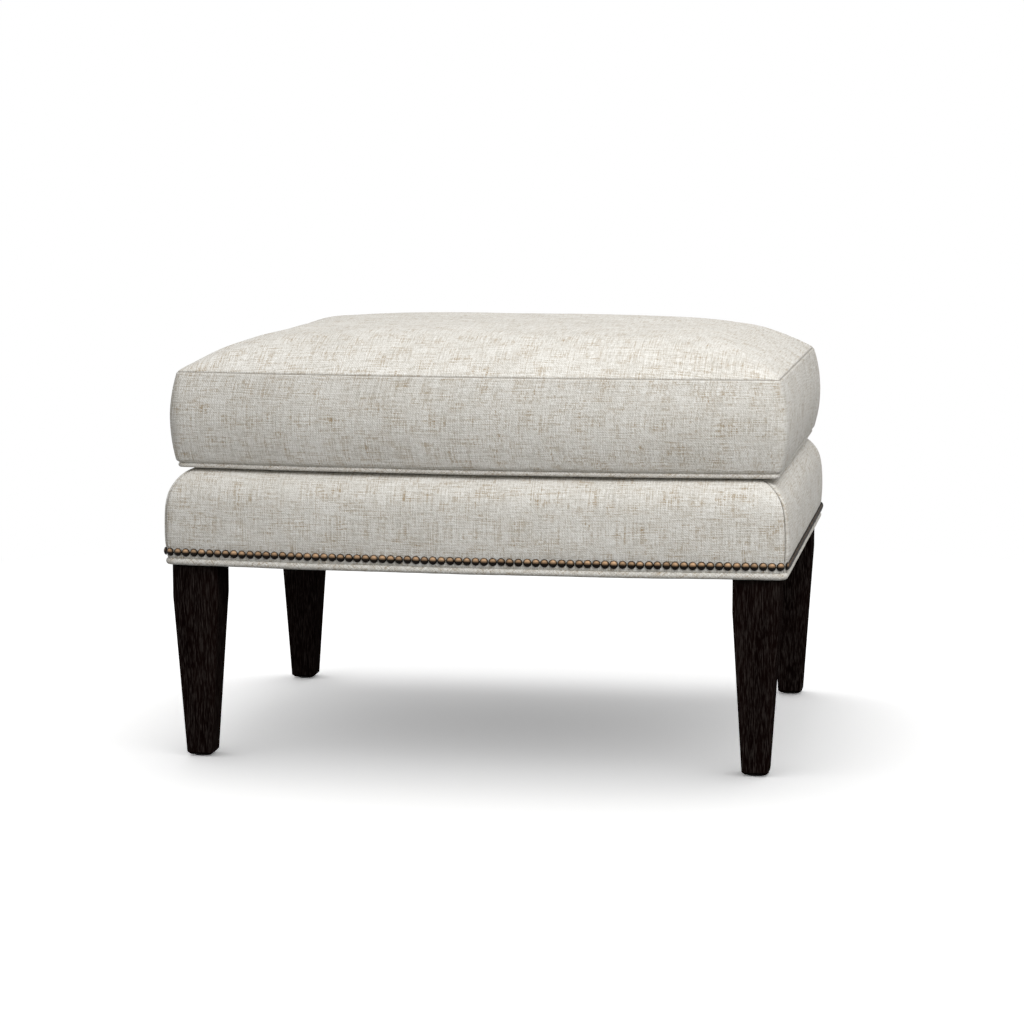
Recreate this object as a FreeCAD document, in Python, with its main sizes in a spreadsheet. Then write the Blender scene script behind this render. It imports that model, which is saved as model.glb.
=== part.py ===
import FreeCAD, Part
import math
import os
import re

import Sketcher

# An upholstered footstool: a hardwood frame on four tapered legs, webbed and padded,
# covered in four mitred panels with a welt and a row of nails, and a loose crowned box cushion.
# The origin is on the floor under the middle, X runs along the width, the front faces -Y, Z is up.
# Sizes are in millimetres.

sizes = {
    "base_width": 711,
    "base_depth": 553,
    "base_bow": 18,
    "base_corner": 12,
    "base_bottom": 225,
    "base_height": 110,
    "soft_gap": 0.3,
    "cover_thickness": 1.5,
    "cover_inset": 0.5,
    "cover_lip": 60,
    "waterfall_run": 32,
    "waterfall_drop": 50,
    "seam_shift": 1.2,
    "base_welt": 8,
    "rail_thickness": 19,
    "rail_end": 16,
    "rail_height": 75,
    "rail_corner": 5,
    "block_side": 70,
    "block_nose": 14,
    "block_height": 35,
    "leg_top": 52.2,
    "leg_foot": 30.3,
    "leg_block": 37,
    "leg_side_setback": 8.9,
    "leg_front_setback": 3.9,
    "leg_edge": 1.2,
    "leg_chamfer": 3,
    "glide_diameter": 20,
    "glide_thickness": 2,
    "bolt_diameter": 6,
    "bolt_in_leg": 35,
    "bolt_above": 6,
    "bolt_offset": 6,
    "bolt_gap": 0.15,
    "nut_flats": 10,
    "nut_thickness": 5,
    "strap_width": 75,
    "strap_thickness": 1.2,
    "strap_margin": 5,
    "strap_bearing": 12,
    "insulator_thickness": 0.8,
    "insulator_inset": 12,
    "nail_head": 9.3,
    "nail_crown": 4.6,
    "nail_rise": 2.6,
    "nail_pitch": 9.7,
    "nail_height": 7,
    "cambric_thickness": 0.8,
    "cambric_inset": 14,
    "cambric_leg_gap": 1,
    "cushion_width": 687,
    "cushion_depth": 517,
    "cushion_bow": 20,
    "cushion_corner": 7,
    "cushion_height": 109.5,
    "cushion_bulge": 9.6,
    "cushion_crown": 44,
    "crown_round": 320,
    "cushion_welt": 5.6,
    "panel_thickness": 1.5,
    "fibre_thickness": 6,
    "band_return": 60,
    "zip_length": 540,
    "zip_slot": 8,
    "zip_tape": 22,
    "zip_tape_thickness": 1,
    "zip_teeth": 3.6,
    "slider_length": 11,
    "slider_width": 9,
    "slider_plate": 1.6,
    "slider_cheek": 1.1,
    "slider_throat": 4,
    "slider_pin": 1.4,
    "slider_play": 0.3,
    "pull_length": 24,
    "pull_width": 6,
    "pull_thickness": 1.4,
    "pull_wall": 0.8,
}

# Counts, and the shape of the crown's curve.
strap_rows = 4
strap_columns = 5
nail_sides = 6
glide_sides = 16
crown_power = 6.3
crown_places = (0, 0.04, 0.1, 0.18, 0.3, 0.5)
waterfall_steps = 4
boxing_steps = 4
cord_sides = 6

# How far a cutting block runs past what it cuts, and how much wider a turned one swings.
past = 5
swing_spare = 1.2

doc = FreeCAD.newDocument("footstool")
sheet = doc.addObject("Spreadsheet::Sheet", "sizes")
for line, (word, number) in enumerate(sizes.items(), start=1):
    sheet.set(f"A{line}", word)
    sheet.set(f"B{line}", str(number))
    sheet.setAlias(f"B{line}", word)
doc.recompute()

up = FreeCAD.Vector(0, 0, 1)
home = FreeCAD.Vector(0, 0, 0)
nodes = []


def size(word):
    return float(sheet.get(word))


def bind(thing, place, expression):
    # Every sheet word has an underscore, which tells it from a function such as sqrt.
    thing.setExpression(place, re.sub(r"[a-z]+(_[a-z]+)+", r"sizes.\g<0>", expression))


def keep(thing, label):
    # Marks a finished sub-part, whose label names its node.
    thing.Label = label
    nodes.append(thing)
    return thing


def shaped(label, shape):
    thing = doc.addObject("Part::Feature", label + "_form")
    thing.Shape = shape
    return keep(thing, label)


def group(label, things):
    bundle = doc.addObject("Part::Compound", label + "_group")
    bundle.Links = things
    keep(bundle, label)


def mirrored(point, across, along):
    return FreeCAD.Vector(point.x * across, point.y * along, point.z)


# Levels above the floor and distances from the middle, first as expressions for the bound
# features and then as numbers for the forms that are computed here.

rail_inset_cell = "( base_welt + soft_gap )"
inner_x_cell = f"( base_width / 2 - {rail_inset_cell} - rail_thickness )"
inner_y_cell = f"( base_depth / 2 - {rail_inset_cell} - rail_end )"
bow_radius_cell = "( ( base_width * base_width / 4 + base_bow * base_bow ) / ( 2 * base_bow ) )"
leg_x_cell = "( base_width / 2 - leg_side_setback - leg_top / 2 )"
leg_y_cell = "( base_depth / 2 - leg_front_setback - leg_top / 2 )"

frame_bottom = size("base_bottom")
rail_inset = size("base_welt") + size("soft_gap")
rail_inner_x = size("base_width") / 2 - rail_inset - size("rail_thickness")
rail_inner_y = size("base_depth") / 2 - rail_inset - size("rail_end")
leg_x = size("base_width") / 2 - size("leg_side_setback") - size("leg_top") / 2
leg_y = size("base_depth") / 2 - size("leg_front_setback") - size("leg_top") / 2
rail_top = frame_bottom + size("rail_height")
deck_top = size("base_bottom") + size("base_height")
insulator_bottom = rail_top + 2 * size("strap_thickness")
foam_bottom = insulator_bottom + size("insulator_thickness") + size("soft_gap")
cover_bottom = size("base_bottom") + size("base_welt") + size("soft_gap")
corner_signs = {
    "back_right": (1, 1),
    "back_left": (-1, 1),
    "front_left": (-1, -1),
    "front_right": (1, -1),
}


# The plan shape that every layer follows: straight sides, bowed front and back, round corners.
# Insets are square to the edge all round, so all the layers of one plan share their centres.


class Plan:
    def __init__(self, width, depth, bow, corner, inset=0.0):
        full_radius = (width * width / 4 + bow * bow) / (2 * bow)
        self.half = width / 2 - inset
        self.radius = full_radius - inset
        self.centre = depth / 2 + bow - full_radius
        self.crest = self.centre + self.radius
        self.corner = corner
        self.corner_x = self.half - corner
        self.corner_y = self.centre + math.sqrt((self.radius - corner) ** 2 - self.corner_x**2)
        self.turn = math.atan2(self.corner_y - self.centre, self.corner_x)

    def on_corner(self, share, level=0.0, reach=0.0):
        # A point on the back right corner: share 0 meets the side, 0.5 the seam, 1 the bow.
        angle = share * self.turn
        out = self.corner + reach
        x = self.corner_x + out * math.cos(angle)
        y = self.corner_y + out * math.sin(angle)
        return FreeCAD.Vector(x, y, level)

    def wire(self, level):
        side, seam, bow = (self.on_corner(share, level) for share in (0, 0.5, 1))
        crest = FreeCAD.Vector(0, self.crest, level)
        edges = []
        for across, along in ((1, 1), (-1, -1)):
            a, b, c = (mirrored(point, across, along) for point in (side, seam, bow))
            edges.append(Part.LineSegment(mirrored(side, across, -along), a).toShape())
            if self.corner > 0:
                edges.append(Part.Arc(a, b, c).toShape())
            edges.append(Part.Arc(c, mirrored(crest, 1, along), mirrored(c, -1, 1)).toShape())
            if self.corner > 0:
                a, b, c = (mirrored(point, -1, 1) for point in (a, b, c))
                edges.append(Part.Arc(c, b, a).toShape())
        return Part.Wire(edges)

    def slab(self, low, high):
        return Part.Face(self.wire(low)).extrude(up * (high - low))

    def row(self, edge, level):
        # One edge of the plan, from corner seam to corner seam.
        along_bow = edge in ("front", "back")
        flip = (-1, 1) if along_bow else (1, -1)
        shares = (1, 0.75, 0.5) if along_bow else (0, 0.25, 0.5)
        corner = [self.on_corner(share, level) for share in shares]
        start, end = mirrored(corner[0], *flip), corner[0]
        run = Part.LineSegment(start, end)
        if along_bow:
            run = Part.Arc(start, FreeCAD.Vector(0, self.crest, level), end)
        first = [mirrored(point, *flip) for point in reversed(corner)]
        wire = Part.Wire([Part.Arc(*first).toShape(), run.toShape(), Part.Arc(*corner).toShape()])
        if edge in ("front", "left"):
            wire.rotate(home, up, 180)
        return wire

    def wedge(self, edge, low, high, outward, inward):
        # The part of the plan that belongs to one edge, cut off along the two corner mitres,
        # which lie just round the corner on the bowed sides.
        tangent = FreeCAD.Vector(-math.sin(self.turn / 2), math.cos(self.turn / 2), 0)
        shift = tangent * size("seam_shift")
        outer = self.on_corner(0.5, low, outward) + shift
        inner = self.on_corner(0.5, low, -inward) + shift
        across, along = {"back": (-1, 1), "front": (-1, 1), "right": (1, -1), "left": (1, -1)}[edge]
        corners = [inner, outer, mirrored(outer, across, along), mirrored(inner, across, along)]
        block = Part.Face(Part.makePolygon(corners + corners[:1])).extrude(up * (high - low))
        if edge in ("front", "left"):
            block.rotate(home, up, 180)
        return block


def base_plan(inset, corner=None):
    corner = size("base_corner") - inset if corner is None else corner
    return Plan(size("base_width"), size("base_depth"), size("base_bow"), corner, inset)


def cushion_plan(inset, corner=None):
    corner = size("cushion_corner") - inset if corner is None else corner
    return Plan(size("cushion_width"), size("cushion_depth"), size("cushion_bow"), corner, inset)


def under(plan, profile):
    # The solid whose four edges all follow one profile of (inset, level), from low to high.
    low, high = profile[0][1], profile[-1][1]
    far = 2 * plan.crest
    inmost = plan.radius - far - plan.crest
    side = [(plan.half - inset, level) for inset, level in profile]
    section = [FreeCAD.Vector(x, -far, level) for x, level in side]
    section += [mirrored(point, -1, 1) for point in reversed(section)]
    block = Part.Face(Part.makePolygon(section + section[:1])).extrude(FreeCAD.Vector(0, 2 * far, 0))
    bow = [(plan.crest - inset, level) for inset, level in profile]
    section = [FreeCAD.Vector(0, y, level) for y, level in [(-far, low)] + bow + [(-far, high)]]
    face = Part.Face(Part.makePolygon(section + section[:1]))
    axis = FreeCAD.Vector(0, plan.centre, 0)
    swing = math.degrees(math.atan2(plan.half, inmost)) * swing_spare
    face.rotate(axis, up, -swing)
    back = face.revolve(axis, up, 2 * swing)
    front = back.copy()
    front.rotate(home, up, 180)
    return block.common(back).common(front)


def faceted(rings):
    # A solid with flat faces between rings of as many points each, from the lowest up.
    faces = [Part.Face(Part.makePolygon(loop + loop[:1])) for loop in (rings[0], rings[-1])]
    for below, above in zip(rings, rings[1:]):
        for n in range(len(below)):
            m = (n + 1) % len(below)
            loop = [below[n], below[m], above[m], above[n], below[n]]
            faces.append(Part.Face(Part.makePolygon(loop)))
    return Part.Solid(Part.Shell(faces))


def ring(plan, level, thickness):
    # A cord along the plan's outline, with a few flat sides.
    start = mirrored(plan.on_corner(0, level), 1, -1)
    turns = [2 * math.pi * (n + 0.5) / cord_sides for n in range(cord_sides)]
    radius = thickness / 2
    points = [start + FreeCAD.Vector(radius * math.cos(t), 0, radius * math.sin(t)) for t in turns]
    section = Part.makePolygon(points + points[:1])
    return plan.wire(level).makePipeShell([section], True, False)


# Sketch helpers


def plane_of(body, role):
    return next(plane for plane in body.Origin.OriginFeatures if plane.Role == role)


def flat_sketch(body, name, level):
    sketch = body.newObject("Sketcher::SketchObject", name)
    sketch.AttachmentSupport = [(plane_of(body, "XY_Plane"), "")]
    sketch.MapMode = "FlatFace"
    bind(sketch, "AttachmentOffset.Base.z", level)
    return sketch


def tie(sketch, *parts):
    sketch.addConstraint(Sketcher.Constraint(*parts))


def drive(sketch, name, parts, expression):
    number = sketch.addConstraint(Sketcher.Constraint(*parts))
    sketch.renameConstraint(number, name)
    bind(sketch, f"Constraints.{name}", expression)


def chain(sketch, points):
    # A closed run of straight lines.
    count = len(points)
    lines = [Part.LineSegment(points[n], points[(n + 1) % count]) for n in range(count)]
    sketch.addGeometry(lines, False)
    for n in range(count):
        tie(sketch, "Coincident", n, 2, (n + 1) % count, 1)


def bore_sketch(body, name, level, x, y, x_cell, y_cell):
    sketch = flat_sketch(body, name, level)
    sketch.addGeometry(Part.Circle(FreeCAD.Vector(x, y, 0), up, size("bolt_diameter") / 2), False)
    drive(sketch, "across", ("DistanceX", -1, 1, 0, 3, x), x_cell)
    drive(sketch, "along", ("DistanceY", -1, 1, 0, 3, y), y_cell)
    drive(sketch, "bore", ("Diameter", 0, size("bolt_diameter")), "bolt_diameter + 2 * bolt_gap")
    return sketch


def is_upright(edge):
    if len(edge.Vertexes) != 2:
        return False
    start, end = (vertex.Point for vertex in edge.Vertexes)
    return abs((end - start).normalize().z) > 0.9


def named_edges(feature, wanted):
    return [f"Edge{n}" for n, edge in enumerate(feature.Shape.Edges, start=1) if wanted(edge)]


def eased(body, feature, name, wanted, width):
    doc.recompute()
    ease = body.newObject("PartDesign::Chamfer", name)
    ease.Base = (feature, named_edges(feature, wanted))
    bind(ease, "Size", width)
    body.Tip = ease
    return ease


# Frame


def bowed_rail(label, angle):
    # Straight inside and sawn to the bow outside, with its outer ends eased for the cover.
    body = doc.addObject("PartDesign::Body", label + "_body")
    sketch = flat_sketch(body, label + "_plan", "base_bottom")
    edge = base_plan(rail_inset, 0)
    rise = math.sqrt(edge.radius**2 - edge.half**2)
    end_y = edge.centre + rise
    start = math.atan2(rise, edge.half)
    corners = [(-edge.half, rail_inner_y), (edge.half, rail_inner_y), (edge.half, end_y), (-edge.half, end_y)]
    a, b, c, d = (FreeCAD.Vector(x, y, 0) for x, y in corners)
    circle = Part.Circle(FreeCAD.Vector(0, edge.centre, 0), up, edge.radius)
    arc = Part.ArcOfCircle(circle, start, math.pi - start)
    sketch.addGeometry([Part.LineSegment(a, b), Part.LineSegment(b, c), arc, Part.LineSegment(d, a)], False)
    for n in range(4):
        tie(sketch, "Coincident", n, 2, (n + 1) % 4, 1)
    tie(sketch, "Vertical", 1)
    tie(sketch, "Vertical", 3)
    tie(sketch, "PointOnObject", 2, 3, -2)
    tie(sketch, "Symmetric", 0, 1, 0, 2, -2)
    length = ("DistanceX", 0, 1, 0, 2, 2 * edge.half)
    drive(sketch, "length", length, f"base_width - 2 * {rail_inset_cell}")
    drive(sketch, "inside", ("DistanceY", -1, 1, 0, 1, rail_inner_y), inner_y_cell)
    drive(sketch, "bow", ("Radius", 2, edge.radius), f"{bow_radius_cell} - {rail_inset_cell}")
    centre = ("DistanceY", 2, 3, -1, 1, -edge.centre)
    drive(sketch, "centre", centre, f"{bow_radius_cell} - base_depth / 2 - base_bow")
    pad = body.newObject("PartDesign::Pad", label + "_pad")
    pad.Profile = sketch
    bind(pad, "Length", "rail_height")
    middle = rail_inner_y + size("rail_end") / 2
    outer_end = lambda e: is_upright(e) and e.CenterOfMass.y > middle
    eased(body, pad, label + "_ends", outer_end, "rail_corner")
    body.Placement = FreeCAD.Placement(home, FreeCAD.Rotation(up, angle))
    keep(body, label)


def side_rail(label, x_cell):
    rail = doc.addObject("Part::Box", label + "_box")
    bind(rail, "Length", "rail_thickness")
    bind(rail, "Width", f"2 * {inner_y_cell}")
    bind(rail, "Height", "rail_height")
    bind(rail, "Placement.Base.x", x_cell)
    bind(rail, "Placement.Base.y", f"- {inner_y_cell}")
    bind(rail, "Placement.Base.z", "base_bottom")
    keep(rail, label)


def corner_blocks():
    # A glue block in each angle of the frame, with a blunt nose at each end and a bored bolt hole.
    body = doc.addObject("PartDesign::Body", "block_body")
    sketch = flat_sketch(body, "block_plan", "0")
    side, nose = size("block_side"), size("block_nose")
    corners = [(0, 0), (side, 0), (side, nose), (nose, side), (0, side)]
    chain(sketch, [FreeCAD.Vector(x, y, 0) for x, y in corners])
    tie(sketch, "Coincident", 0, 1, -1, 1)
    tie(sketch, "Horizontal", 0)
    tie(sketch, "Vertical", 1)
    tie(sketch, "Horizontal", 3)
    tie(sketch, "Vertical", 4)
    tie(sketch, "Equal", 0, 4)
    tie(sketch, "Equal", 1, 3)
    drive(sketch, "side", ("DistanceX", 0, 1, 0, 2, side), "block_side")
    drive(sketch, "nose", ("DistanceY", 1, 1, 1, 2, nose), "block_nose")
    pad = body.newObject("PartDesign::Pad", "block_pad")
    pad.Profile = sketch
    bind(pad, "Length", "block_height")
    x = rail_inner_x - leg_x + size("bolt_offset")
    y = rail_inner_y - leg_y + size("bolt_offset")
    x_cell = f"{inner_x_cell} - {leg_x_cell} + bolt_offset"
    y_cell = f"{inner_y_cell} - {leg_y_cell} + bolt_offset"
    hole = body.newObject("PartDesign::Pocket", "block_hole")
    hole.Profile = bore_sketch(body, "block_bore", "0", x, y, x_cell, y_cell)
    hole.Type = "ThroughAll"
    hole.Reversed = True
    body.Tip = hole
    body.Placement = FreeCAD.Placement(home, FreeCAD.Rotation(up, 180))
    bind(body, "Placement.Base.x", inner_x_cell)
    bind(body, "Placement.Base.y", inner_y_cell)
    bind(body, "Placement.Base.z", "base_bottom")
    group("corner_blocks", four_of(body, "block"))


def four_of(thing, word):
    # The piece at the back right and its mirror images at the other three corners.
    across = doc.addObject("Part::Mirroring", word + "_across")
    across.Source = thing
    across.Normal = FreeCAD.Vector(1, 0, 0)
    pair = doc.addObject("Part::Compound", word + "_pair")
    pair.Links = [thing, across]
    along = doc.addObject("Part::Mirroring", word + "_along")
    along.Source = pair
    along.Normal = FreeCAD.Vector(0, 1, 0)
    return [pair, along]


# Legs


def eased_square(side, level):
    half = side / 2
    flat = half - size("leg_edge")
    corners = [(-flat, -half), (flat, -half), (half, -flat), (half, flat)]
    corners += [(-x, -y) for x, y in corners]
    return [FreeCAD.Vector(x, y, level) for x, y in corners]


def legs():
    # A square block under the frame, tapered alike on all four sides, with a bevelled toe.
    sole, toe = size("glide_thickness"), size("leg_chamfer")
    rings = [
        eased_square(size("leg_foot") - 2 * toe, sole),
        eased_square(size("leg_foot"), sole + toe),
        eased_square(size("leg_top"), frame_bottom - size("leg_block")),
        eased_square(size("leg_top"), frame_bottom),
    ]
    offset, depth = size("bolt_offset"), size("bolt_in_leg")
    low = FreeCAD.Vector(-offset, -offset, frame_bottom - depth)
    bore = Part.makeCylinder(size("bolt_diameter") / 2 + size("bolt_gap"), depth, low)
    leg = faceted(rings).cut(bore)
    for quarter, (place, (across, along)) in enumerate(corner_signs.items()):
        spot = FreeCAD.Vector(across * leg_x, along * leg_y, 0)
        thing = shaped(f"leg_{place}", leg)
        thing.Placement = FreeCAD.Placement(spot, FreeCAD.Rotation(up, 90 * quarter))


def round_bar(name, radius_cell, height_cell, x_cell, y_cell, z_cell):
    bar = doc.addObject("Part::Cylinder", name)
    bind(bar, "Radius", radius_cell)
    bind(bar, "Height", height_cell)
    bind(bar, "Placement.Base.x", x_cell)
    bind(bar, "Placement.Base.y", y_cell)
    bind(bar, "Placement.Base.z", z_cell)
    return bar


bolt_x_cell = f"{leg_x_cell} - bolt_offset"
bolt_y_cell = f"{leg_y_cell} - bolt_offset"


def prism(name, sides, radius_cell, height_cell, x_cell, y_cell, z_cell):
    block = doc.addObject("Part::Prism", name)
    block.Polygon = sides
    bind(block, "Circumradius", radius_cell)
    bind(block, "Height", height_cell)
    bind(block, "Placement.Base.x", x_cell)
    bind(block, "Placement.Base.y", y_cell)
    bind(block, "Placement.Base.z", z_cell)
    return block


def hanger_bolts():
    reach = "bolt_in_leg + block_height + nut_thickness + bolt_above"
    low = "base_bottom - bolt_in_leg"
    bolt = round_bar("bolt", "bolt_diameter / 2", reach, bolt_x_cell, bolt_y_cell, low)
    group("hanger_bolts", four_of(bolt, "bolt"))


def leg_nuts():
    low = "base_bottom + block_height"
    across, height = "nut_flats / sqrt(3)", "nut_thickness"
    hexagon = prism("nut_hexagon", 6, across, height, bolt_x_cell, bolt_y_cell, low)
    bore_cell = "bolt_diameter / 2 + bolt_gap"
    bore = round_bar("nut_bore", bore_cell, height, bolt_x_cell, bolt_y_cell, low)
    nut = doc.addObject("Part::Cut", "nut")
    nut.Base = hexagon
    nut.Tool = bore
    group("leg_nuts", four_of(nut, "nut"))


def glides():
    # Glued pads under the feet, just proud of the wood.
    across, height = "glide_diameter / 2", "glide_thickness"
    pad = prism("glide", glide_sides, across, height, leg_x_cell, leg_y_cell, "0")
    group("glides", four_of(pad, "glide"))


# Suspension and padding of the base


def woven_strap(inner, crossings, starts_over):
    # One strap along X: flat on both rails, then over and under the straps that it crosses.
    thickness = size("strap_thickness")
    reach = inner + size("strap_bearing")
    half = size("strap_width") / 2 + size("strap_margin")
    path = [(-reach, 0)]
    for n, crossing in enumerate(crossings):
        over = (n % 2 == 0) == starts_over
        if n == 0 and over:
            path.append((-inner, 0))
        path += [(crossing + x, thickness if over else 0) for x in (-half, half)]
    if over:
        path.append((inner, 0))
    path.append((reach, 0))
    lower = [FreeCAD.Vector(x, -size("strap_width") / 2, rail_top + z) for x, z in path]
    upper = [point + up * thickness for point in reversed(lower)]
    outline = Part.makePolygon(lower + upper + lower[:1])
    return Part.Face(outline).extrude(FreeCAD.Vector(0, size("strap_width"), 0))


def webbing():
    rows = spread(rail_inner_y, strap_rows)
    columns = spread(rail_inner_x, strap_columns)
    along = []
    for n, y in enumerate(rows):
        strap = woven_strap(rail_inner_x, columns, n % 2 == 0)
        strap.translate(FreeCAD.Vector(0, y, 0))
        along.append(strap)
    across = []
    for n, x in enumerate(columns):
        strap = woven_strap(rail_inner_y, rows, n % 2 == 1)
        strap.rotate(home, up, 90)
        strap.translate(FreeCAD.Vector(x, 0, 0))
        across.append(strap)
    shaped("webbing_lengthwise", Part.makeCompound(along))
    shaped("webbing_crosswise", Part.makeCompound(across))


def spread(half, count):
    # Evenly spaced places between -half and half.
    return [2 * half * (n + 0.5) / count - half for n in range(count)]


def padded_block(inset, low):
    # The form of the upholstered base, taken in by inset: upright sides and a waterfall edge.
    run, drop = size("waterfall_run") - inset, size("waterfall_drop") - inset
    shoulder = deck_top - size("waterfall_drop")
    wall = size("cover_inset") + inset
    profile = [(wall, low)]
    for step in range(waterfall_steps + 1):
        angle = math.radians(90 * step / waterfall_steps)
        profile.append((wall + run * (1 - math.cos(angle)), shoulder + drop * math.sin(angle)))
    return under(base_plan(0), profile).common(base_plan(wall).slab(low, deck_top))


base_edges = ("front", "back", "left", "right")


def split_by_mitres(shape, low, high):
    seams = base_plan(0)
    reach = size("cover_lip") * 2
    return {edge: shape.common(seams.wedge(edge, low, high, reach, reach)) for edge in base_edges}


def base_covers():
    thickness = size("cover_thickness")
    skin = padded_block(0, cover_bottom).cut(padded_block(thickness, cover_bottom - past))
    opening = base_plan(size("cover_lip"), 0)
    skin = skin.cut(opening.slab(deck_top - 2 * thickness, deck_top + thickness))
    for edge, panel in split_by_mitres(skin, cover_bottom - past, deck_top + past).items():
        shaped(f"cover_{edge}", panel)
    shaped("deck_cloth", opening.slab(deck_top - thickness, deck_top))


def base_padding():
    gap = size("soft_gap")
    block = padded_block(size("cover_thickness") + gap, cover_bottom + gap)
    whole = base_plan(-past, 0)
    side = block.cut(whole.slab(foam_bottom - gap, deck_top + past))
    side = side.cut(base_plan(rail_inset - gap, 0).slab(cover_bottom - past, deck_top))
    for edge, pad in split_by_mitres(side, cover_bottom - past, foam_bottom).items():
        shaped(f"padding_{edge}", pad)
    shaped("deck_foam", block.cut(whole.slab(cover_bottom - past, foam_bottom)))
    insulator = base_plan(size("insulator_inset"), 0)
    shaped("deck_insulator", insulator.slab(insulator_bottom, foam_bottom - gap))


def cambric():
    # The black dust cover under the frame, cut out round the legs.
    low = frame_bottom - size("cambric_thickness")
    cloth = base_plan(size("cambric_inset"), 0).slab(low, frame_bottom)
    side = size("leg_top") + 2 * size("cambric_leg_gap")
    for across, along in corner_signs.values():
        corner = FreeCAD.Vector(across * leg_x - side / 2, along * leg_y - side / 2, low)
        cloth = cloth.cut(Part.makeBox(side, side, size("cambric_thickness"), corner))
    shaped("dust_cover", cloth)


def nail():
    # A low faceted dome, standing along Z.
    turns = [2 * math.pi * (n + 0.5) / nail_sides for n in range(nail_sides)]
    rings = []
    for across, level in ((size("nail_head"), 0), (size("nail_crown"), size("nail_rise"))):
        radius = across / 2
        rings.append([FreeCAD.Vector(radius * math.cos(t), radius * math.sin(t), level) for t in turns])
    return faceted(rings)


def nail_rows():
    # Touching heads in one line above the welt, turned with the corner.
    head = nail()
    level = cover_bottom + size("nail_height")
    seat_plan = base_plan(size("cover_inset"))
    for edge in base_edges:
        row = seat_plan.row(edge, level)
        count = round(row.Length / size("nail_pitch"))
        points = row.discretize(2 * count + 1)
        heads = []
        for n in range(count):
            before, seat, after = points[2 * n : 2 * n + 3]
            outward = (before - after).cross(up).normalize()
            if outward.dot(seat) < 0:
                outward = outward.negative()
            copy = head.copy()
            copy.Placement = FreeCAD.Placement(seat, FreeCAD.Rotation(up, outward))
            heads.append(copy)
        shaped(f"nails_{edge}", Part.makeCompound(heads))


def base_piping():
    thickness = size("base_welt")
    path = base_plan(thickness / 2)
    shaped("base_welt", ring(path, size("base_bottom") + thickness / 2, thickness))


# Cushion

seat_level = deck_top + size("soft_gap")
seam_level = seat_level + size("cushion_height")
boxing_bottom = seat_level + size("cushion_welt") + size("soft_gap")
boxing_middle = (boxing_bottom + seam_level) / 2
boxing_half = (seam_level - boxing_bottom) / 2


def boxing_taken(level):
    # How far the boxing stands in from the seam outline: it bulges at mid height.
    share = (level - boxing_middle) / boxing_half
    return size("panel_thickness") * (1 - share) / 2 - size("cushion_bulge") * (1 - share * share)


def boxing_block(inset, low, high):
    profile = []
    for step in range(boxing_steps + 1):
        level = low + (high - low) * step / boxing_steps
        profile.append((boxing_taken(level) + inset, level))
    swollen = cushion_plan(inset - size("cushion_bulge"))
    return under(cushion_plan(0), profile).common(swollen.slab(low, high))


def crown_block(inset):
    # The stuffed top: steep at the seam, nearly flat in the middle, with drawn-in corners.
    plan = cushion_plan(0)
    reach = size("cushion_depth") / 2
    profile = []
    for place in crown_places:
        level = seam_level + size("cushion_crown") * (1 - (1 - place) ** crown_power)
        profile.append((inset + place * reach, level if place == 0 else level - inset))
    block = under(plan, profile)
    corner = (plan.half + plan.corner_y + size("cushion_corner")) / math.sqrt(2)
    side = []
    for place, (taken, level) in zip(crown_places, profile):
        rounded = (math.sqrt(2) - 1) * size("crown_round") * place
        side.append((corner - math.sqrt(2) * taken - rounded, level))
    far = 2 * plan.half
    section = [FreeCAD.Vector(x, -far, level) for x, level in side]
    section += [mirrored(point, -1, 1) for point in reversed(section)]
    hip = Part.Face(Part.makePolygon(section + section[:1])).extrude(FreeCAD.Vector(0, 2 * far, 0))
    for angle in (45, 90):
        hip.rotate(home, up, angle)
        block = block.common(hip)
    return block


zip_plan = cushion_plan(boxing_taken(boxing_middle))


def along_back(inner, outer, profile_z, half_length):
    # A block bent along the back of the cushion, between two radii and two levels.
    low, high = profile_z
    corners = [(inner, low), (outer, low), (outer, high), (inner, high)]
    return bent([(radius, level) for radius, level in corners], half_length)


def bent(profile, half_length):
    # Turns a profile of (radius, level) about the bow's centre, half each way of the middle.
    swing = math.asin(half_length / zip_plan.radius)
    centre = FreeCAD.Vector(0, zip_plan.centre, 0)
    points = [FreeCAD.Vector(0, zip_plan.centre + radius, level) for radius, level in profile]
    face = Part.Face(Part.makePolygon(points + points[:1]))
    face.rotate(centre, up, -math.degrees(swing))
    return face.revolve(centre, up, 2 * math.degrees(swing))


def cushion_cover():
    thickness, gap = size("panel_thickness"), size("soft_gap")
    shaped("cushion_top", crown_block(0).cut(crown_block(thickness)))
    skin = boxing_block(0, boxing_bottom, seam_level)
    skin = skin.cut(boxing_block(thickness, boxing_bottom, seam_level))
    far = size("cushion_width")
    join = size("cushion_depth") / 2 - size("band_return")
    behind = Part.makeBox(2 * far, far, far, FreeCAD.Vector(-far, join, 0))
    shaped("cushion_boxing", skin.cut(behind))
    slot_half = size("zip_slot") / 2
    levels = (boxing_middle - slot_half, boxing_middle + slot_half)
    end = size("zip_length") / 2 + size("slider_play")
    slot = along_back(zip_plan.radius - past, zip_plan.radius + past, levels, end)
    shaped("zip_band", skin.common(behind).cut(slot))
    bottom = cushion_plan(size("cushion_welt") + 2 * gap, 0)
    shaped("cushion_bottom", bottom.slab(seat_level, seat_level + thickness))
    welt = size("cushion_welt")
    shaped("cushion_welt", ring(cushion_plan(welt / 2), seat_level + welt / 2, welt))


boxing_step = 2 * boxing_half / boxing_steps
tape_slope = (boxing_taken(boxing_middle - boxing_step) - boxing_taken(boxing_middle)) / boxing_step
tape_sag = tape_slope * size("zip_tape") / 2
tape_outer = zip_plan.radius - size("panel_thickness") - tape_sag - size("soft_gap")
tape_inner = tape_outer - size("zip_tape_thickness")


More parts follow.
